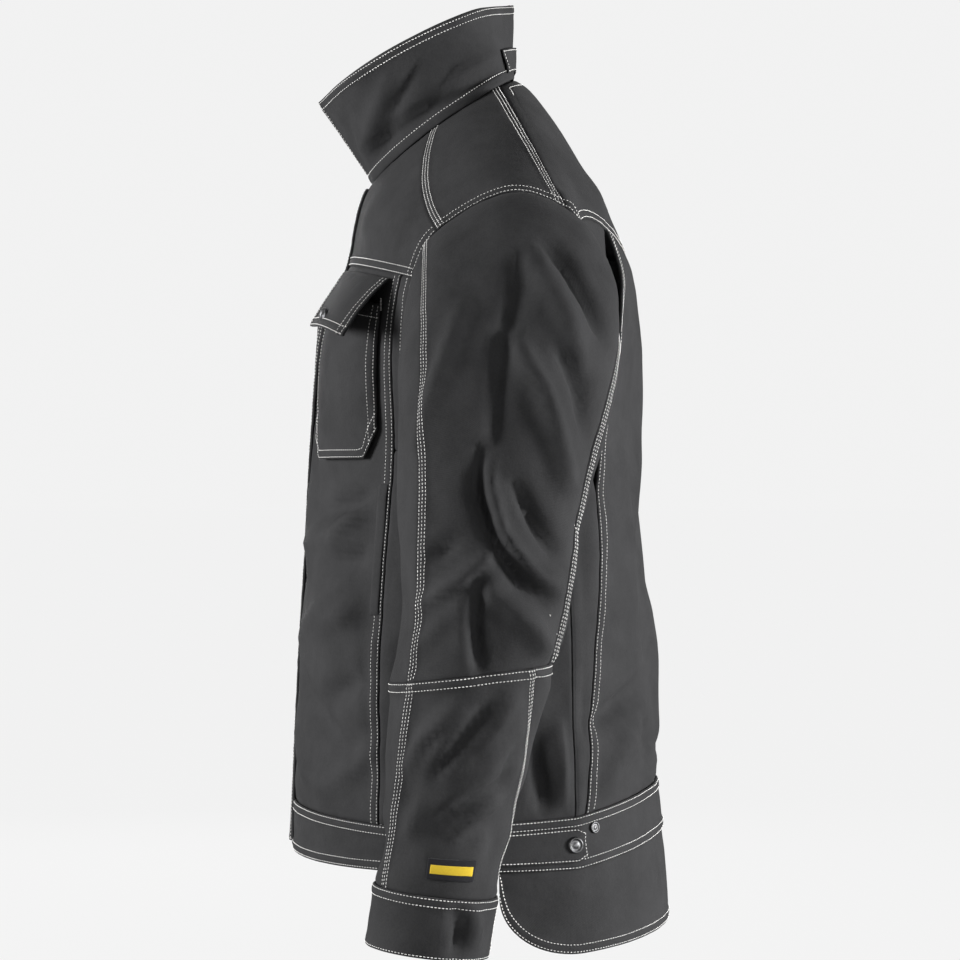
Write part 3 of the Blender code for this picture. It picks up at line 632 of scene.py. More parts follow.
class Cloth:
    """A patch of a surface, ruled between two edges, as a grid of points with its folds and seams."""

    def __init__(self, surface, first, second, seams, folds=body_folds, inside=BODY_CENTRE, lift=0.0,
                 thickness=CLOTH, roll=0.0009, fold_share=1.0):
        self.surface, self.first, self.second = surface, first, second
        self.seams, self.thickness = seams, thickness
        coarse = self.grid_at(np.linspace(0, 1, 41), np.linspace(0, 1, 41))[0]
        rows, self.length = by_length(np.linspace(0, 1, 2), coarse, 0)
        columns, self.width = by_length(np.linspace(0, 1, 2), coarse, 1)
        rows = by_length(spacing(self.length), coarse, 0)[0]
        columns = by_length(spacing(self.width), coarse, 1)[0]
        base, places = self.grid_at(rows, columns)
        self.base = base
        self.normals, self.flipped = facing_out(base, inside)
        self.along, self.across = lengths_along(base, 0), lengths_along(base, 1)
        self.to_edge = self.distances()
        shape = base.shape[:2]
        flat, flat_normals = base.reshape(-1, 3), self.normals.reshape(-1, 3)
        height = folds(flat, flat_normals, [p.reshape(-1) for p in places]).reshape(shape)
        height = height * fold_share * self.calm_near_seams()
        if callable(lift):
            lift = lift(rows[:, None], columns[None, :])
        self.outer = base + self.normals * (height + lift + self.relief(flat, shape, roll))[..., None]
        self.area = self.flat_area()

    def grid_at(self, rows, columns):
        start = [np.broadcast_to(np.asarray(s, float), rows.shape)[:, None] for s in self.first(rows)]
        end = [np.broadcast_to(np.asarray(s, float), rows.shape)[:, None] for s in self.second(rows)]
        places = [a * (1 - columns) + b * columns for a, b in zip(start, end)]
        return self.surface(*places), places

    def distances(self):
        """Distance of every point from each of the four edges."""
        base = self.base

        def leaning(edge_step, away):
            crossed = np.linalg.norm(np.cross(edge_step, away), axis=-1)
            sizes = np.linalg.norm(edge_step, axis=-1) * np.linalg.norm(away, axis=-1)
            return np.clip(crossed / np.maximum(sizes, 1e-12), 0.3, 1)

        down, over = np.gradient(base, axis=0), np.gradient(base, axis=1)
        return {
            "first": self.across * leaning(down[:, 0], over[:, 0])[:, None],
            "second": (self.across[:, -1:] - self.across) * leaning(down[:, -1], over[:, -1])[:, None],
            "start": self.along * leaning(down[0], over[0])[None],
            "end": (self.along[-1:] - self.along) * leaning(down[-1], over[-1])[None],
        }

    def calm_near_seams(self):
        far_off = np.full(self.base.shape[:2], 1.0)
        nearest = np.min([self.to_edge[edge] for edge in self.seams] + [far_off], axis=0)
        return AT_SEAM + (1 - AT_SEAM) * np.clip(nearest / SEAM_REACH, 0, 1)

    def relief(self, flat, shape, roll):
        height = np.zeros(shape)
        pucker = rough(flat, 0.0085, seed=4.4).reshape(shape)
        for edge, distance in self.to_edge.items():
            seam = self.seams.get(edge)
            height -= roll * np.exp(-distance / 0.0008)
            if seam is None:
                continue
            height += 0.5 * seam.height * (1 - np.tanh((distance - seam.width) / 0.0008))
            height += 0.0005 * pucker * np.exp(-((distance - 0.5 * seam.width) / 0.010) ** 2)
            for row in seam.rows:
                height -= 0.00035 * np.exp(-(((distance - row) / 0.0009) ** 2))
        return height

    def flat_area(self):
        down, over = np.diff(self.base, axis=0)[:, :-1], np.diff(self.base, axis=1)[:-1]
        return float(np.linalg.norm(np.cross(down, over), axis=-1).sum())

    def line(self, edge, offset, start=0.0, end=1.0):
        """Points and normals on the cloth at a distance from one of its edges."""
        turned = edge in ("start", "end")
        distance = self.to_edge[edge].T if turned else self.to_edge[edge]
        outer = self.outer.transpose(1, 0, 2) if turned else self.outer
        normals = self.normals.transpose(1, 0, 2) if turned else self.normals
        if edge in ("second", "end"):
            distance, outer, normals = distance[:, ::-1], outer[:, ::-1], normals[:, ::-1]
        lane = np.arange(distance.shape[1])
        found, facing = [], []
        for row in range(len(distance)):
            place = np.interp(offset, distance[row], lane)
            near = min(int(place), len(lane) - 2)
            share = place - near
            found.append(outer[row, near] * (1 - share) + outer[row, near + 1] * share)
            facing.append(normals[row, near] * (1 - share) + normals[row, near + 1] * share)
        first, last = round(start * (len(found) - 1)), round(end * (len(found) - 1))
        return np.array(found)[first:last + 1], np.array(facing)[first:last + 1]

    def between(self, start, end):
        """Points and normals on the cloth along a line drawn from the side, as (y, z)."""
        shares = np.linspace(0, 1, 12)[:, None]
        drawn = np.array(start) * (1 - shares) + np.array(end) * shares
        flat, facing = self.outer.reshape(-1, 3), self.normals.reshape(-1, 3)
        away = np.linalg.norm(flat[None, :, 1:] - drawn[:, None], axis=2)
        weights = np.exp(-((away / 0.004) ** 2)) + 1e-12
        depth = (weights * flat[:, 0]).sum(axis=1) / weights.sum(axis=1)
        return np.column_stack([depth, drawn]), facing[away.argmin(axis=1)]

    def spot(self, row, column):
        """Point and normal at shares of the cloth's length and width."""
        i = np.interp(row, (0, 1), (0, len(self.outer) - 1.001))
        j = np.interp(column, (0, 1), (0, self.outer.shape[1] - 1.001))
        near_i, near_j = int(i), int(j)
        result = []
        for field in (self.outer, self.normals):
            top = field[near_i, near_j] * (1 - j % 1) + field[near_i, near_j + 1] * (j % 1)
            low = field[near_i + 1, near_j] * (1 - j % 1) + field[near_i + 1, near_j + 1] * (j % 1)
            result.append(top * (1 - i % 1) + low * (i % 1))
        return result


def new_mesh(name, points, faces, material, uvs=None):
    """Object from an array of points and an array of faces of equal size, or a list of faces."""
    mesh = bpy.data.meshes.new(name)
    mesh.from_pydata(np.asarray(points).tolist(), [], [list(map(int, face)) for face in faces])
    mesh.materials.append(material)
    mesh.shade_smooth()
    if uvs is not None:
        layer = mesh.uv_layers.new(name="cloth")
        corners = np.empty(len(mesh.loops), int)
        mesh.loops.foreach_get("vertex_index", corners)
        layer.data.foreach_set("uv", np.asarray(uvs, float)[corners].reshape(-1))
    made = bpy.data.objects.new(name, mesh)
    bpy.context.collection.objects.link(made)
    return made


def cloth_object(name, cloth, side, material):
    """Closed mesh of a cloth: its outer face, its inner face and the rim between them."""
    rows, columns = cloth.outer.shape[:2]
    outer = cloth.outer.reshape(-1, 3)
    inner = outer - cloth.normals.reshape(-1, 3) * cloth.thickness
    points = np.concatenate([outer, inner]) * (side, 1, 1)
    count = rows * columns
    corner = np.arange(count).reshape(rows, columns)
    quads = np.stack([corner[:-1, :-1], corner[1:, :-1], corner[1:, 1:], corner[:-1, 1:]], axis=-1)
    quads = quads.reshape(-1, 4)
    rim = np.concatenate([corner[0], corner[1:, -1], corner[-1, -2::-1], corner[-2:0:-1, 0]])
    after = np.roll(rim, -1)
    rim_quads = np.stack([rim, after, after + count, rim + count], axis=-1)
    faces = np.concatenate([quads, quads[:, ::-1] + count, rim_quads])
    if cloth.flipped != (side < 0):
        faces = faces[:, ::-1]
    flat = np.stack([cloth.across.reshape(-1), cloth.along.reshape(-1)], axis=-1)
    return new_mesh(name, points, faces, material, np.concatenate([flat, flat]))


# Stitches

STITCH_PITCH, STITCH_LENGTH = 0.0031, 0.0019
THREAD_HALF, THREAD_HEIGHT = 0.00038, 0.00038
THREAD_SECTIONS = ((-0.5, 0.45, -0.10), (-0.3, 1.0, 0.75), (0.3, 1.0, 0.75), (0.5, 0.45, -0.10))
stitch_books = {}       # name of the piece: list of (points, normals) lines


def sew(book, line, side=1):
    points, normals = line
    stitch_books.setdefault(book, []).append((points * (side, 1, 1), normals * (side, 1, 1)))


def repeated_faces(count):
    """Faces of many small tubes of four rings of four points each."""
    return (16 * np.arange(count)[:, None, None] + np.array(tube_faces(4, 4))).reshape(-1, 4)


def threads_along(points, normals):
    """Stitches along a line: each a short rounded thread of four rings, sunk at its ends."""
    places = travelled(points)
    centres = np.arange(0.6 * STITCH_PITCH, places[-1] - 0.4 * STITCH_PITCH, STITCH_PITCH)
    if len(centres) == 0:
        return np.empty((0, 3)), np.empty((0, 4), int)
    sections = []
    for share, size, raised in THREAD_SECTIONS:
        at = centres + share * STITCH_LENGTH
        middle, up = (np.stack([np.interp(at, places, field[:, axis]) for axis in range(3)], axis=1)
                      for field in (points, normals))
        sections.append((middle, up, size, raised))
    along = unit(sections[-1][0] - sections[0][0], 1e-9)
    rings = []
    for middle, up, size, raised in sections:
        across = unit(np.cross(along, up), 1e-9)
        core = middle + up * raised * THREAD_HEIGHT
        for x, y in ((1, 0), (0, 1), (-1, 0), (0, -1)):
            rings.append(core + across * x * THREAD_HALF * size + up * y * 0.8 * THREAD_HEIGHT * size)
    return np.stack(rings, axis=1).reshape(-1, 3), repeated_faces(len(centres))


def stitch_piece(name, lines, material):
    points, faces, total = [], [], 0
    for line, facing in lines:
        some, quads = threads_along(line, facing)
        points.append(some)
        faces.append(quads + total)
        total += len(some)
    return new_mesh(name, np.concatenate(points), np.concatenate(faces), material)


def bartack(book, point, normal, along, length=0.010, side=1):
    """A dense short bar of thread that ends an opening."""
    along = np.asarray(along, float) / np.linalg.norm(along)
    across = np.cross(along, normal)
    for turn in np.linspace(-0.5, 0.5, 9):
        middle = point + along * turn * length
        sew(book, (np.array([middle - across * 0.0016, middle + across * 0.0016]),
                   np.array([normal, normal])), side)


# Materials

def shader_material(name, colour, roughness, metallic=0.0, specular=0.5):
    material = bpy.data.materials.new(name)
    material.use_nodes = True
    material.diffuse_color = (*colour, 1)
    shader = material.node_tree.nodes["Principled BSDF"]
    shader.inputs["Base Color"].default_value = (*colour, 1)
    shader.inputs["Roughness"].default_value = roughness
    shader.inputs["Metallic"].default_value = metallic
    shader.inputs["Specular IOR Level"].default_value = specular
    return material, shader


class Nodes:
    """Short ways to add nodes to a material."""

    def __init__(self, material, shader):
        self.tree, self.shader = material.node_tree, shader

    def add(self, kind, settings=None, **inputs):
        node = self.tree.nodes.new("ShaderNode" + kind)
        for key, value in (settings or {}).items():
            setattr(node, key, value)
        for key, value in inputs.items():
            self.put(node.inputs[key.replace("_", " ")], value)
        return node

    def put(self, socket, value):
        if isinstance(value, bpy.types.NodeSocket):
            self.tree.links.new(value, socket)
        else:
            socket.default_value = value

    def drive(self, name, value):
        self.put(self.shader.inputs[name], value)

    def math(self, operation, first, second=0.0, third=0.0):
        node = self.add("Math", {"operation": operation})
        for socket, value in zip(node.inputs, (first, second, third)):
            self.put(socket, value)
        return node.outputs[0]

    def noise(self, place, scale, detail=3.0, roughness=0.5):
        node = self.add("TexNoise", Scale=scale, Detail=detail, Roughness=roughness)
        self.put(node.inputs["Vector"], place)
        return node.outputs["Fac"]

    def ramp(self, value, stops):
        node = self.add("ValToRGB")
        self.put(node.inputs["Fac"], value)
        elements = node.color_ramp.elements
        while len(elements) < len(stops):
            elements.new(0.5)
        for element, (position, colour) in zip(elements, stops):
            element.position, element.color = position, (*colour, 1)
        return node.outputs["Color"]

    def bump(self, height, strength, distance, below=None):
        node = self.add("Bump", Strength=strength, Distance=distance)
        self.put(node.inputs["Height"], height)
        if below is not None:
            self.put(node.inputs["Normal"], below)
        return node.outputs["Normal"]


def canvas_material(name, dark, light, yarn=0.00062, sheen=0.03, roughness=0.80):
    """Plain-weave cotton canvas, washed unevenly, with a fine bloom of worn fibres."""
    material, shader = shader_material(name, dark, roughness, specular=0.12)
    nodes = Nodes(material, shader)
    place = nodes.add("TexCoord").outputs["Object"]
    flat = nodes.add("UVMap", {"uv_map": "cloth"}).outputs["UV"]
    split = nodes.add("SeparateXYZ")
    nodes.put(split.inputs[0], flat)
    cycles = 2 * math.pi / (2 * yarn)
    warp = nodes.math("SINE", nodes.math("MULTIPLY", split.outputs["X"], cycles))
    weft = nodes.math("SINE", nodes.math("MULTIPLY", split.outputs["Y"], cycles))
    weave = nodes.math("MULTIPLY_ADD", nodes.math("MULTIPLY", warp, weft), 0.5, 0.5)
    cloud = nodes.noise(place, 9.0, 4.0, 0.6)
    blotch = nodes.noise(place, 46.0, 5.0, 0.65)
    slub = nodes.noise(place, 620.0, 2.0, 0.7)
    tone = nodes.math("MULTIPLY_ADD", cloud, 0.45, nodes.math("MULTIPLY", blotch, 0.30))
    tone = nodes.math("MULTIPLY_ADD", slub, 0.22, tone)
    tone = nodes.math("MULTIPLY_ADD", weave, 0.10, tone)
    middle = tuple((a + b) / 2 for a, b in zip(dark, light))
    colour = nodes.ramp(tone, ((0.30, dark), (0.54, middle), (0.78, light)))
    nodes.drive("Base Color", colour)
    rough_now = nodes.math("MULTIPLY_ADD", blotch, 0.16, roughness - 0.08)
    nodes.drive("Roughness", rough_now)
    shader.inputs["Sheen Weight"].default_value = sheen
    shader.inputs["Sheen Roughness"].default_value = 0.45
    creased = nodes.bump(nodes.noise(place, 130.0, 4.0, 0.6), 0.35, 0.0012)
    woven = nodes.bump(nodes.math("MULTIPLY_ADD", slub, 0.5, weave), 0.55, 0.00022, creased)
    nodes.drive("Normal", woven)
    return material


def thread_material():
    """Undyed spun thread, twisted, a little soiled."""
    material, shader = shader_material("thread_white", (0.60, 0.59, 0.57), 0.62)
    nodes = Nodes(material, shader)
    place = nodes.add("TexCoord").outputs["Object"]
    soil = nodes.noise(place, 60.0, 3.0)
    colour = nodes.ramp(soil, ((0.32, (0.74, 0.73, 0.71)), (0.62, (0.93, 0.92, 0.90))))
    nodes.drive("Base Color", colour)
    twist = nodes.add("TexWave", {"bands_direction": "DIAGONAL"}, Scale=900.0, Distortion=1.0)
    nodes.put(twist.inputs["Vector"], place)
    nodes.drive("Normal", nodes.bump(twist.outputs["Fac"], 0.5, 0.0001))
    return material


def metal_material(name, colour, roughness, worn):
    """Plated metal with fine scratches and duller patches."""
    material, shader = shader_material(name, colour, roughness, 1.0)
    nodes = Nodes(material, shader)
    place = nodes.add("TexCoord").outputs["Object"]
    patches = nodes.noise(place, 240.0, 4.0, 0.6)
    scratches = nodes.noise(place, 1800.0, 2.0, 0.7)
    nodes.drive("Base Color", nodes.ramp(patches, ((0.35, worn), (0.65, colour))))
    mixed = nodes.math("MULTIPLY_ADD", patches, 0.22, roughness - 0.11)
    nodes.drive("Roughness", mixed)
    nodes.drive("Normal", nodes.bump(scratches, 0.25, 0.00008))
    return material


canvas = canvas_material("black_canvas", (0.0150, 0.0150, 0.0156), (0.0480, 0.0480, 0.0496))
# A darker copy of the black canvas for the hidden pleat folds and the collar's inside: painted shade where
# those parts lie in shadow.
shade_dark_canvas = canvas_material("shade_dark_inner_canvas", (0.008, 0.008, 0.009), (0.020, 0.020, 0.021), yarn=0.0005)
tape = canvas_material("zip_tape_weave", (0.010, 0.010, 0.012), (0.024, 0.024, 0.027), yarn=0.0004, sheen=0.1)
thread = thread_material()
snap_metal = metal_material("snap_gunmetal", (0.13, 0.13, 0.135), 0.42, (0.06, 0.06, 0.06))
zip_metal = metal_material("zip_nickel", (0.48, 0.46, 0.42), 0.38, (0.27, 0.25, 0.22))


# Pieces

made_cloths = {}        # piece name: Cloth
blends_of_books = {}    # book of stitches: the body given for it, and two points; only whether a book is here is read


def declare(cloth):
    """Measures how large the cloth was cut and tells a tape under 10 mm wide from a sheet, but does nothing
    with either.
    """
    width, length = cloth.across[:, -1].max(), cloth.along[-1].max()
    if min(width, length) < 0.01:
        return


def place_cloth(node, cloth, side=1, body="jacket", material=None, slot="canvas", blend=None,
                book="stitches_body"):
    """The visible piece of one CAD panel, and its stitches."""
    piece = cloth_object(node + "_cloth", cloth, side, material or canvas)
    declare(cloth)
    if blend is None:
        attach(piece, body)
    else:
        start, end = (tuple(map(float, np.multiply(point, (side, 1, 1)))) for point in blend)
        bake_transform(piece)
        blends_of_books[book] = (body, start, end)
    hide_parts(node)
    made_cloths[node] = cloth
    for edge, seam in cloth.seams.items():
        for offset in seam.rows:
            sew(book, cloth.line(edge, offset, seam.start, seam.end), side)


def both_sides(node, cloth, body=None, **options):
    for side, suffix in SIDES:
        if body:
            options.update(body=body + suffix, book="stitches_" + body + suffix)
        place_cloth(node + suffix, cloth, side, **options)


PLEAT_BARTACK = 0.50        # share of the pleat's line where its open part ends
PLEAT_DEPTH, CENTRE_LIFT = 0.0150, 0.0050
PLEAT_REACH = 0.15          # how far the pleat's hidden fold goes to each side, as a share of the arc


def open_pleat(v, power):
    """1 in the middle of the pleat's open part, 0 at its ends and below."""
    return np.sin(np.pi * np.clip(v / PLEAT_BARTACK, 0, 1)) ** power


def centre_lift(u, v):
    """The centre panel's edges stand off where the pleats are open."""
    return CENTRE_LIFT * np.exp(-np.minimum(u, 1 - u) / 0.06) * open_pleat(v, 0.7)


def side_hollow(u, v):
    """Beside the open pleat the cloth turns in under the centre panel."""
    return -PLEAT_DEPTH * np.exp(-u / 0.30) * open_pleat(v, 0.6)


def pleat_lift(u, v):
    """The hidden fold lies under both panels, and shallow where the yoke's seam holds it."""
    return -0.0045 - 0.0145 * np.clip(u / 0.12, 0, 1) + 0 * v


def pleat_edge(side):
    def edge(u):
        across, level = pleat_line(PLEAT_BARTACK * u)
        return across + side * PLEAT_REACH, level
    return edge


def body_pieces():
    back_waist = LAST - WAIST
    both_sides("front_panel", Cloth(
        torso, straight((FRONT_EDGE, WAIST), (FRONT_EDGE, YOKE)),
        straight((FRONT_SIDE_SEAM, WAIST), (FRONT_SIDE_SEAM, YOKE)),
        edges(TOPSTITCHED, FELLED, TUCKED, TUCKED)))
    both_sides("front_yoke", Cloth(
        torso, straight((FRONT_EDGE, YOKE), (1.0, YOKE)), shoulder_front_edge,
        edges(FELLED, TUCKED, TOPSTITCHED, FELLED)))
    both_sides("shoulder_panel", Cloth(
        torso, lambda u: shoulder_seam(FRONT_NECK, NECK, u), lambda u: shoulder_seam(BACK_NECK, RIDGE + 1, u),
        edges(TRIPLE, TRIPLE, TUCKED, FELLED)))
    place_cloth("back_yoke", Cloth(
        torso, back_yoke_top, lambda u: below_yoke(1 - 2 * u),
        edges(Seam(-0.0003, 0.0015, (NECK_ROW,), 0.335, 0.665), FELLED, FELLED, FELLED)))
    place_cloth("back_centre_panel", Cloth(
        torso, lambda u: below_yoke(PLEAT_TOP * (1 - 2 * u)),
        straight((PLEAT_FOOT, back_waist), (-PLEAT_FOOT, back_waist)),
        edges(TUCKED, TUCKED, FELLED, FELLED), lift=centre_lift))
    both_sides("side_back_panel", Cloth(
        torso, lambda u: below_yoke(PLEAT_TOP + (1 - PLEAT_TOP) * u),
        straight((PLEAT_FOOT, back_waist), (1, back_waist)),
        edges(TUCKED, TUCKED, TUCKED, Seam(0.0009, 0.009, DOUBLE_ROWS, 0.0, 0.5)), lift=side_hollow))
    both_sides("side_panel", Cloth(
        around, straight((FRONT_SIDE_SEAM, WAIST), (2.0, WAIST)),
        lambda u: under_arm(FRONT_SIDE_SEAM + (2 - FRONT_SIDE_SEAM) * u),
        edges(TUCKED, TUCKED, TUCKED, TUCKED)))
    both_sides("armhole_front_strip", Cloth(
        torso, straight((FRONT_SIDE_SEAM, ARMPIT), (FRONT_SIDE_SEAM, YOKE)),
        straight((1.0, ARMPIT), (1.0, YOKE)), edges(TUCKED, FELLED, TUCKED, TUCKED)))
    # The pleat's hidden fold is cut from the darkened canvas copy, as painted shade.
    both_sides("action_pleat", Cloth(
        torso, pleat_edge(-1), pleat_edge(1), {}, thickness=CLOTH / 2, fold_share=0.5, lift=pleat_lift),
        material=shade_dark_canvas)


def collar_parts():
    options = dict(folds=collar_folds, inside=COLLAR_CENTRE, thickness=CLOTH / 2)
    foot, hidden_foot, tab_half, tab_low, tab_high = -0.05, -0.14, 0.16, 0.06, 0.40
    top = straight((0, 1), (2, 1))
    neck, brim = Seam(0.0009, 0.0090, (NECK_ROW,), 0.03, 0.97), Seam(0.0007, 0.0085, (0.0016, 0.0074))
    place_cloth("collar_outer", Cloth(
        collar, straight((0, foot), (2, foot)), top, edges(neck, brim, TOPSTITCHED, TOPSTITCHED), **options))
    # The collar's inside is cut from the darkened canvas copy, as painted shade.
    place_cloth("collar_inner", Cloth(
        collar, straight((0, hidden_foot), (2, hidden_foot)), top, {}, lift=-CLOTH / 2 - 0.0012, **options),
        material=shade_dark_canvas)
    low, high = (straight((1 - tab_half, height), (1 + tab_half, height)) for height in (tab_low, tab_high))
    place_cloth("neck_tab", Cloth(
        collar, low, high, edges(TOPSTITCHED, TOPSTITCHED, TOPSTITCHED, TOPSTITCHED), lift=OVERLAY + 0.001,
        **options))


BAND_SEAM, BAND_LIFT = 1.5, 0.0014


def band_and_tail():
    both_sides("waistband_front", Cloth(
        around, straight((FRONT_EDGE, HEM), (BAND_SEAM, HEM)),
        straight((FRONT_EDGE, WAIST), (BAND_SEAM, WAIST)),
        edges(HEM_EDGE, FELLED, TOPSTITCHED, TUCKED), lift=BAND_LIFT))
    place_cloth("waistband_back", Cloth(
        around, straight((BAND_SEAM, HEM), (6 - BAND_SEAM, HEM)),
        straight((BAND_SEAM, WAIST), (6 - BAND_SEAM, WAIST)),
        edges(FELLED, FELLED, TUCKED, TUCKED), lift=BAND_LIFT))
    place_cloth("back_tail", Cloth(
        around, lambda u: (tail_edge(u)[0], HEM + 0 * u), tail_edge, edges(TUCKED, HEM_EDGE)))


# Pockets, tabs and press studs

POCKET_LOW, POCKET_HIGH = 4.93, YOKE - 0.06
STUD_PLACE = 0.723          # share of the way from the pocket's foot to the top of its flap's seam


def chest_level(share):
    return POCKET_LOW + (POCKET_HIGH - POCKET_LOW) * share


POCKET_INNER, POCKET_OUTER, POCKET_MOUTH = 0.30, 0.82, 0.80
POCKET_WIDTH = POCKET_OUTER - POCKET_INNER
FLAP_FOOT, FLAP_TOP, FLAP_MARGIN = 0.60, 0.985, 0.03
FLAP_WIDTH = POCKET_WIDTH + 2 * FLAP_MARGIN
POCKET_BELLY = 0.0105
FLAP_LIFT, FLAP_STAND, FLAP_SPREAD = 0.0050, 0.0135, 0.028      # at its seam, at its foot, more outward


def pocket_edge(base):
    def edge(u):
        mitre = 0.13 * np.clip((np.abs(2 * u - 1) - 0.74) / 0.26, 0, 1) if base == 0 else 0 * u
        return POCKET_INNER + POCKET_WIDTH * u, chest_level(base + mitre)
    return edge


def flap_edge(base):
    def edge(u):
        return POCKET_INNER - FLAP_MARGIN + FLAP_WIDTH * u, chest_level(base) + 0 * u
    return edge


def chest_pockets():
    def bag_lift(u, v):
        belly = np.sin(np.pi * (0.15 + 0.70 * v))
        return OVERLAY + 0.0008 + POCKET_BELLY * np.sin(np.pi * u) ** 0.6 * belly

    bag = Cloth(torso, pocket_edge(0), pocket_edge(POCKET_MOUTH),
                edges(FELLED, Seam(0.0006, 0.0125, (0.0120,)), FELLED, FELLED),
                lift=bag_lift, thickness=CLOTH / 2)
    both_sides("chest_pocket", bag)

    def flap_lift(u, v):
        outward = np.clip((u * FLAP_WIDTH - FLAP_MARGIN) / POCKET_WIDTH, 0, 1)
        stand = FLAP_STAND + FLAP_SPREAD * outward ** 1.5
        return FLAP_LIFT + stand * (1 - v) + 0.0010 * np.sin(np.pi * u)

    hem = Seam(0.0007, 0.0085, (0.0018, 0.0074))
    flap = Cloth(torso, flap_edge(FLAP_FOOT), flap_edge(FLAP_TOP),
                 edges(hem, TUCKED, hem, hem), lift=flap_lift, fold_share=0.4)
    both_sides("pocket_flap", flap, "flap", blend=(flap.spot(0.5, 1.0)[0], flap.spot(0.5, 0.86)[0]))
    on_flap = flap.spot(0.5, (STUD_PLACE - FLAP_FOOT) / (FLAP_TOP - FLAP_FOOT))
    on_bag = bag.spot(0.5, STUD_PLACE / POCKET_MOUTH)
    for side, suffix in SIDES:
        press_stud("flap_snap" + suffix, on_flap, side, 0.0070, 0.0026, "flap" + suffix)
        press_stud("pocket_stud" + suffix, on_bag, side, 0.0048, 0.0014, "jacket")
        for place in ((0.02, 0.985), (0.98, 0.985)):
            bartack("stitches_body", *bag.spot(*place), (0, 0, 1), side=side)


def hand_pockets():
    inner, outer, low, high = 0.83, 0.885, 3.55, 4.70
    both_sides("hand_pocket_welt", Cloth(
        torso, straight((inner, low), (inner, high)), straight((outer, low), (outer, high)),
        edges(first=TUCKED, start=TUCKED, end=TUCKED), lift=OVERLAY, thickness=CLOTH / 2))


def waist_tabs():
    start, end, point_length = 1.44, 2.04, 0.05
    snap, bare_stud = 1.87, 2.11
    middle, half = (HEM + WAIST) / 2, 0.38

    def edge(side):
        def place(u):
            along = start + (end - start) * u
            taper = np.minimum(1.0, 0.75 + 0.25 * (end - along) / point_length)
            return along, middle + side * half * taper
        return place

    tab = Cloth(around, edge(-1), edge(1),
                edges(TOPSTITCHED, TOPSTITCHED, TUCKED, TOPSTITCHED),
                lift=lambda u, v: 0.0062 + 0 * u * v, fold_share=0.5)
    both_sides("waist_tab", tab, "tab", blend=(tab.spot(0.03, 0.5)[0], tab.spot(0.22, 0.5)[0]))
    cap = tab.spot((snap - start) / (end - start), 0.5)
    bare = made_cloths["waistband_back"].spot((bare_stud - BAND_SEAM) / (6 - 2 * BAND_SEAM), 0.58)
    for side, suffix in SIDES:
        press_stud("tab_snap" + suffix, cap, side, 0.0072, 0.0026, "tab" + suffix)
        press_stud("tab_stud" + suffix, bare, side, 0.0052, 0.0022, "jacket")


def turned_piece(name, profile, spot, side, material):
    """Turned metal part on the cloth: profile is (radius, height) from its rim to its centre."""
    steps = 40
    foot, axis = (np.multiply(part, (side, 1, 1)) for part in spot)
    axis = axis / np.linalg.norm(axis)
    first = np.cross(axis, (0, 0, 1))
    first /= np.linalg.norm(first)
    second = np.cross(axis, first)
    turns = 2 * math.pi * np.arange(steps) / steps
    around_axis = np.cos(turns)[:, None] * first + np.sin(turns)[:, None] * second
    rings = [foot + axis * height + around_axis * radius for radius, height in profile]
    return new_mesh(name, np.concatenate(rings), tube_faces(len(profile), steps), material)


STUD_PROFILE = (        # shares of the radius and the height, over the rim's foot
    (1.00, 0.12), (1.00, 0.45), (0.97, 0.78), (0.90, 0.95), (0.80, 1.00), (0.72, 0.90),
    (0.66, 0.72), (0.55, 0.66), (0.38, 0.74), (0.30, 0.88), (0.18, 0.95), (0.05, 0.97),
)


def press_stud(node, spot, side, radius, height, body):
    """A cap with a rolled rim, a shallow dish and a low boss, or the bare socket of one."""
    profile = [(0.93 * radius, -0.0004)] + [(radius * wide, height * high) for wide, high in STUD_PROFILE]
    piece = turned_piece(node + "_metal", profile, spot, side, snap_metal)
    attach(piece, body)
    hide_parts(node)
    piece.data.set_sharp_from_angle(angle=math.radians(60))


# Front closure

ZIP_DOWN = np.array((0, ZIP_BOTTOM[0] - ZIP_TOP[0], ZIP_BOTTOM[1] - ZIP_TOP[1]))
ZIP_LENGTH = float(np.linalg.norm(ZIP_DOWN))
ZIP_DOWN = ZIP_DOWN / ZIP_LENGTH
ZIP_OUT = np.array((0, ZIP_DOWN[2], -ZIP_DOWN[1]))
ZIP_START = np.array((0, ZIP_TOP[0], ZIP_TOP[1]))


def zip_plane(x, along):
    x, along = together(x, along)
    return ZIP_START + x[..., None] * np.array((1.0, 0, 0)) + along[..., None] * ZIP_DOWN


def zip_teeth(name, side):
    """One side of the chain: a tooth with a narrow nose every pitch."""
    pitch, nose, half = 0.0030, 0.0006, 0.0009
    sections = ((0.0030, 0.8, 0.0011), (0.0014, 1.0, 0.0012), (0.0004, 0.9, 0.0011), (-nose, 0.35, 0.0006))
    points = []
    count = int(ZIP_LENGTH / pitch) - 1
    for tooth in range(count):
        middle = (tooth + (0.75 if side > 0 else 0.25)) * pitch + 0.0005
        for x, width, out in sections:
            for down, up in ((-1, -1), (1, -1), (1, 1), (-1, 1)):
                points.append(zip_plane(side * x, middle + down * half * width) + ZIP_OUT * up * out)
    faces = repeated_faces(count)
    return new_mesh(name, points, faces if side < 0 else faces[:, ::-1], zip_metal)


PLACKET_TOP, PLACKET_FOOT, PLACKET_ARC = 6.27, 1.15, 0.092
EDGE_LIFT, SLIDER_ROOM = 0.0034, 0.0075
TAPE_EDGES = (0.0033, 0.0110)
UPPER_FOOT, UPPER_TOP, UPPER_ARC, UPPER_LIFT = PLACKET_TOP + 0.03, NECK - 0.05, 0.10, 0.0022


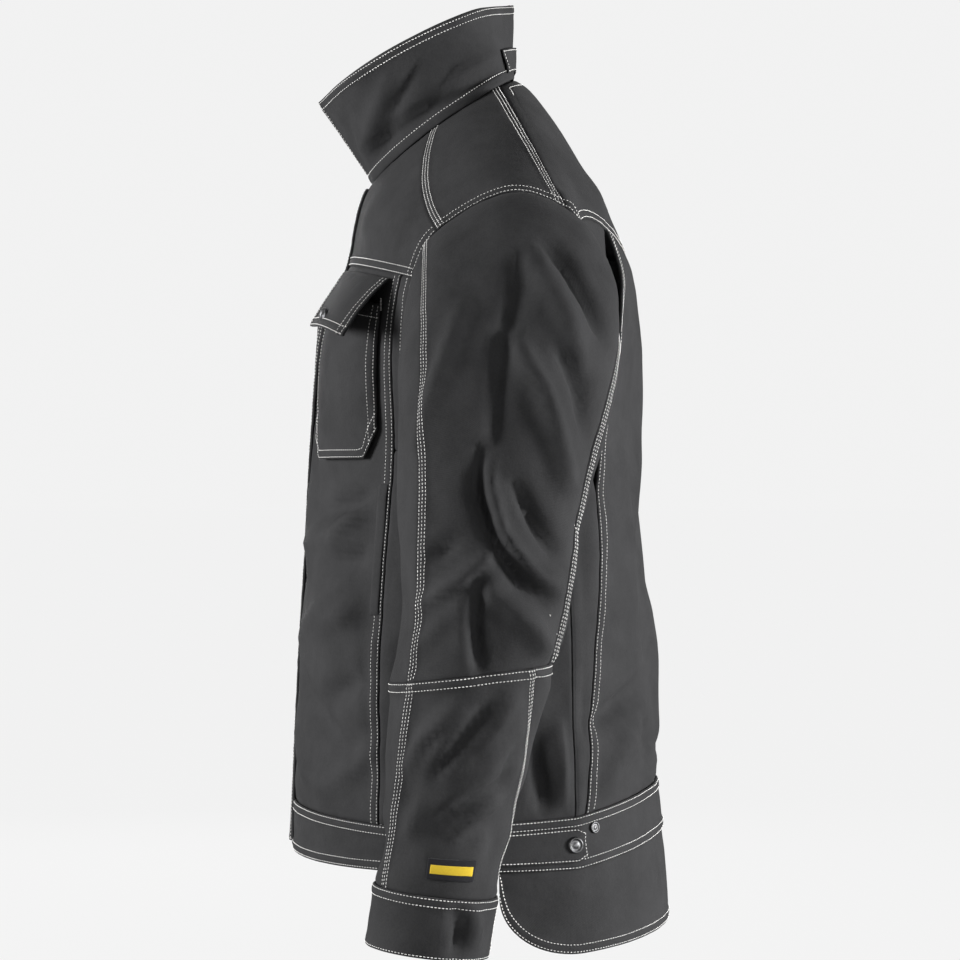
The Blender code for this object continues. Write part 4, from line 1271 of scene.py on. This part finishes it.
def over_zip(u, v):
    """The placket lies on the fronts at its edges and rises over the slider's path in its middle."""
    centre = through(CENTRE_LINE, PLACKET_TOP + (PLACKET_FOOT - PLACKET_TOP) * u)
    zip_y = ZIP_TOP[0] + (centre[..., 1] - ZIP_TOP[1]) / ZIP_DOWN[2] * ZIP_DOWN[1]
    crown = SLIDER_ROOM - (zip_y - centre[..., 0])
    return EDGE_LIFT + (crown - EDGE_LIFT) * (1 - np.abs(2 * v - 1) ** 2.5)


def over_slider(u, v):
    """The fixed upper placket rises over the slider's garage at its lower end."""
    rise = (SLIDER_ROOM - UPPER_LIFT) * (1 - np.clip(v / 0.45, 0, 1)) ** 1.5
    return UPPER_LIFT + rise * (1 - np.abs(2 * u - 1) ** 2.5)


def closure():
    rows = Seam(0.0006, 0.0085, (0.0020, 0.0078))
    left, right = (straight((arc, PLACKET_TOP), (arc, PLACKET_FOOT)) for arc in (PLACKET_ARC, -PLACKET_ARC))
    placket = Cloth(torso, left, right, edges(rows, rows, TOPSTITCHED, TOPSTITCHED), lift=over_zip,
                    fold_share=0.35)
    hinge = placket.spot(0.5, 0.0)[0], placket.spot(0.5, 0.16)[0]
    place_cloth("storm_placket", placket, body="placket", blend=hinge, book="stitches_placket")
    low, high = (straight((-UPPER_ARC, level), (UPPER_ARC, level)) for level in (UPPER_FOOT, UPPER_TOP))
    place_cloth("upper_placket", Cloth(
        torso, low, high, edges(TOPSTITCHED, TUCKED, rows, rows), lift=over_slider, fold_share=0.4))
    inner, outer = (straight((x, 0), (x, ZIP_LENGTH)) for x in TAPE_EDGES)
    strip = Cloth(zip_plane, inner, outer, {}, lift=0.0005, thickness=0.0010, roll=0.0002, fold_share=0.0)
    for side, suffix in SIDES:
        place_cloth("zip_tape" + suffix, strip, side, material=tape, slot="zip_tape")
        teeth = zip_teeth("zip_teeth" + suffix, side)
        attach(teeth, "jacket")
        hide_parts("zip_chain" + suffix)
    for node in ("zip_slider", "zip_pull", "zip_stop"):
        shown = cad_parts[node]
        shown.data.materials.clear()
        shown.data.materials.append(zip_metal)


# Sleeves

ELBOW_DARTS = (         # (y, z)
    ((0.1064, -0.358), (0.1114, -0.370)),
    ((0.0876, -0.4346), (0.0950, -0.4550)),
)
SHOULDER_BLEND = ((0.209, 0.045, -0.335), (0.252, 0.045, -0.349))
UNDER_BACK_SEAM = 360 + BACK_SEAM

# The badge and its bar: (angle, place) of two opposite corners
PATCH_CORNERS = (10, 5.74), (-34, 5.46)
BAR_CORNERS = (7, 5.66), (-31, 5.54)


def along_sleeve(angle, low, high):
    def edge(u):
        place = low + (high - low) * u
        return (angle(place) if callable(angle) else angle + 0 * u), place
    return edge


def under_back_seam(place):
    return 360 + back_seam(place)


def sleeve_panel(name, first, second, ends, seams, **blend):
    """A panel of both sleeves between two lines that run down them."""
    both_sides(name, Cloth(sleeve, along_sleeve(first, *ends), along_sleeve(second, *ends), seams,
                           folds=sleeve_folds, inside=SLEEVE_CENTRE), "sleeve", **blend)


def on_left_sleeve(corners, **options):
    """A small patch on the outside of the left sleeve."""
    (front, low), (back, high) = corners
    return Cloth(sleeve, straight((front, low), (back, low)), straight((front, high), (back, high)), {},
                 folds=sleeve_folds, inside=SLEEVE_CENTRE, **options)


def sleeve_pieces():
    upper, lower = (0, ELBOW_SEAM), (ELBOW_SEAM, CUFF_TOP)
    sleeve_panel("upper_sleeve_outer", BACK_SEAM, front_seam, upper, edges(TUCKED, TRIPLE, TUCKED, TUCKED),
                 blend=SHOULDER_BLEND)
    outer = made_cloths["upper_sleeve_outer_left"]
    for side, suffix in SIDES:
        for start, end in ELBOW_DARTS:
            sew("stitches_sleeve" + suffix, outer.between(start, end), side)
    sleeve_panel("upper_sleeve_under", front_seam, UNDER_BACK_SEAM, upper,
                 edges(TUCKED, TRIPLE, TUCKED, TUCKED), blend=SHOULDER_BLEND)
    sleeve_panel("lower_sleeve_outer", back_seam, front_seam, lower, edges(TRIPLE, TRIPLE, FELLED, TUCKED))
    sleeve_panel("lower_sleeve_under", front_seam, under_back_seam, lower,
                 edges(TUCKED, TUCKED, FELLED, TUCKED))
    low, high = (straight((VENT, place), (VENT + 360, place)) for place in (CUFF_TOP, CUFF_END))
    both_sides("cuff", Cloth(
        sleeve, low, high, edges(FELLED, TOPSTITCHED, TOPSTITCHED, TOPSTITCHED), lift=0.001,
        folds=sleeve_folds, inside=SLEEVE_CENTRE), "sleeve")
    patch = on_left_sleeve(PATCH_CORNERS, lift=OVERLAY, thickness=0.0008, roll=0.0004)
    node = next(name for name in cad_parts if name.startswith("sleeve_badge"))
    place_cloth(node, patch, body="sleeve_left", slot="badge", material=tape)
    bar = on_left_sleeve(BAR_CORNERS, lift=OVERLAY + 0.0007, thickness=0.0006, roll=0.0003)
    yellow = canvas_material("badge_yellow", (0.52, 0.35, 0.02), (0.80, 0.58, 0.05), yarn=0.0004, sheen=0.1)
    piece = cloth_object("badge_bar_cloth", bar, 1, yellow)
    declare(bar)
    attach(piece, "sleeve_left")


def all_stitches():
    for name, lines in stitch_books.items():
        piece = stitch_piece(name, lines, thread)
        if name in blends_of_books:
            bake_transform(piece)
        else:
            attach(piece, "jacket")


# Studio

MIDDLE = (0.0, 0.03, -0.35)
LIGHTS = (              # name, place, size, power
    ("left_softbox", (0.7, -2.6, 0.1), 1.0, 105),
    ("right_softbox", (0.7, 2.7, -0.3), 1.0, 125),
    ("front_softbox", (2.6, 1.2, -0.6), 0.8, 17),
    ("far_softbox", (-2.6, -0.4, 0.3), 1.2, 40),
)


def area_light(name, place, size, power):
    data = bpy.data.lights.new(name, "AREA")
    data.shape, data.size, data.energy = "DISK", size, power
    made = bpy.data.objects.new(name, data)
    direction = Vector(MIDDLE) - Vector(place)
    made.location = place
    made.visible_camera = False
    made.rotation_euler = direction.to_track_quat("-Z", "Y").to_euler()
    bpy.context.collection.objects.link(made)


def studio():
    camera = bpy.data.cameras.new("camera")
    camera.lens, camera.sensor_width = 112.9, 36
    eye = bpy.data.objects.new("camera", camera)
    eye.location = (2.8, 0.031, -0.3255)
    eye.rotation_euler = Matrix(((0, 0, 1), (1, 0, 0), (0, 1, 0))).to_euler()
    bpy.context.collection.objects.link(eye)
    bpy.context.scene.camera = eye

    for light in LIGHTS:
        area_light(*light)

    world = bpy.data.worlds.new("studio")
    world.use_nodes = True
    seen, fill = 0.885, 0.26        # the backdrop's tone, and the light that it gives
    backdrop = world.node_tree.nodes["Background"]
    path = world.node_tree.nodes.new("ShaderNodeLightPath")
    strength = world.node_tree.nodes.new("ShaderNodeMapRange")
    strength.inputs["To Min"].default_value = fill
    strength.inputs["To Max"].default_value = seen
    world.node_tree.links.new(path.outputs["Is Camera Ray"], strength.inputs["Value"])
    world.node_tree.links.new(strength.outputs["Result"], backdrop.inputs["Strength"])
    backdrop.inputs["Color"].default_value = (1.0, 1.0, 1.0, 1)
    bpy.context.scene.world = world
    bpy.context.scene.view_settings.view_transform = "Standard"

    floor_height, reach, floor_tone = -0.95, 60.0, 0.875
    corners = ((-reach, -reach), (reach, -reach), (reach, reach), (-reach, reach))
    points = [(x, y, floor_height) for x, y in corners]
    material, shader = shader_material("pale_floor", (0.02, 0.02, 0.02), 1.0, specular=0.0)
    shader.inputs["Emission Color"].default_value = (1.0, 1.0, 1.0, 1)
    shader.inputs["Emission Strength"].default_value = floor_tone
    floor = new_mesh("floor", points, [(0, 1, 2, 3)], material)
    floor.visible_diffuse = floor.visible_glossy = False


studio()
body_pieces()
collar_parts()
band_and_tail()
chest_pockets()
hand_pockets()
waist_tabs()
closure()
sleeve_pieces()
all_stitches()

bpy.context.view_layer.update()
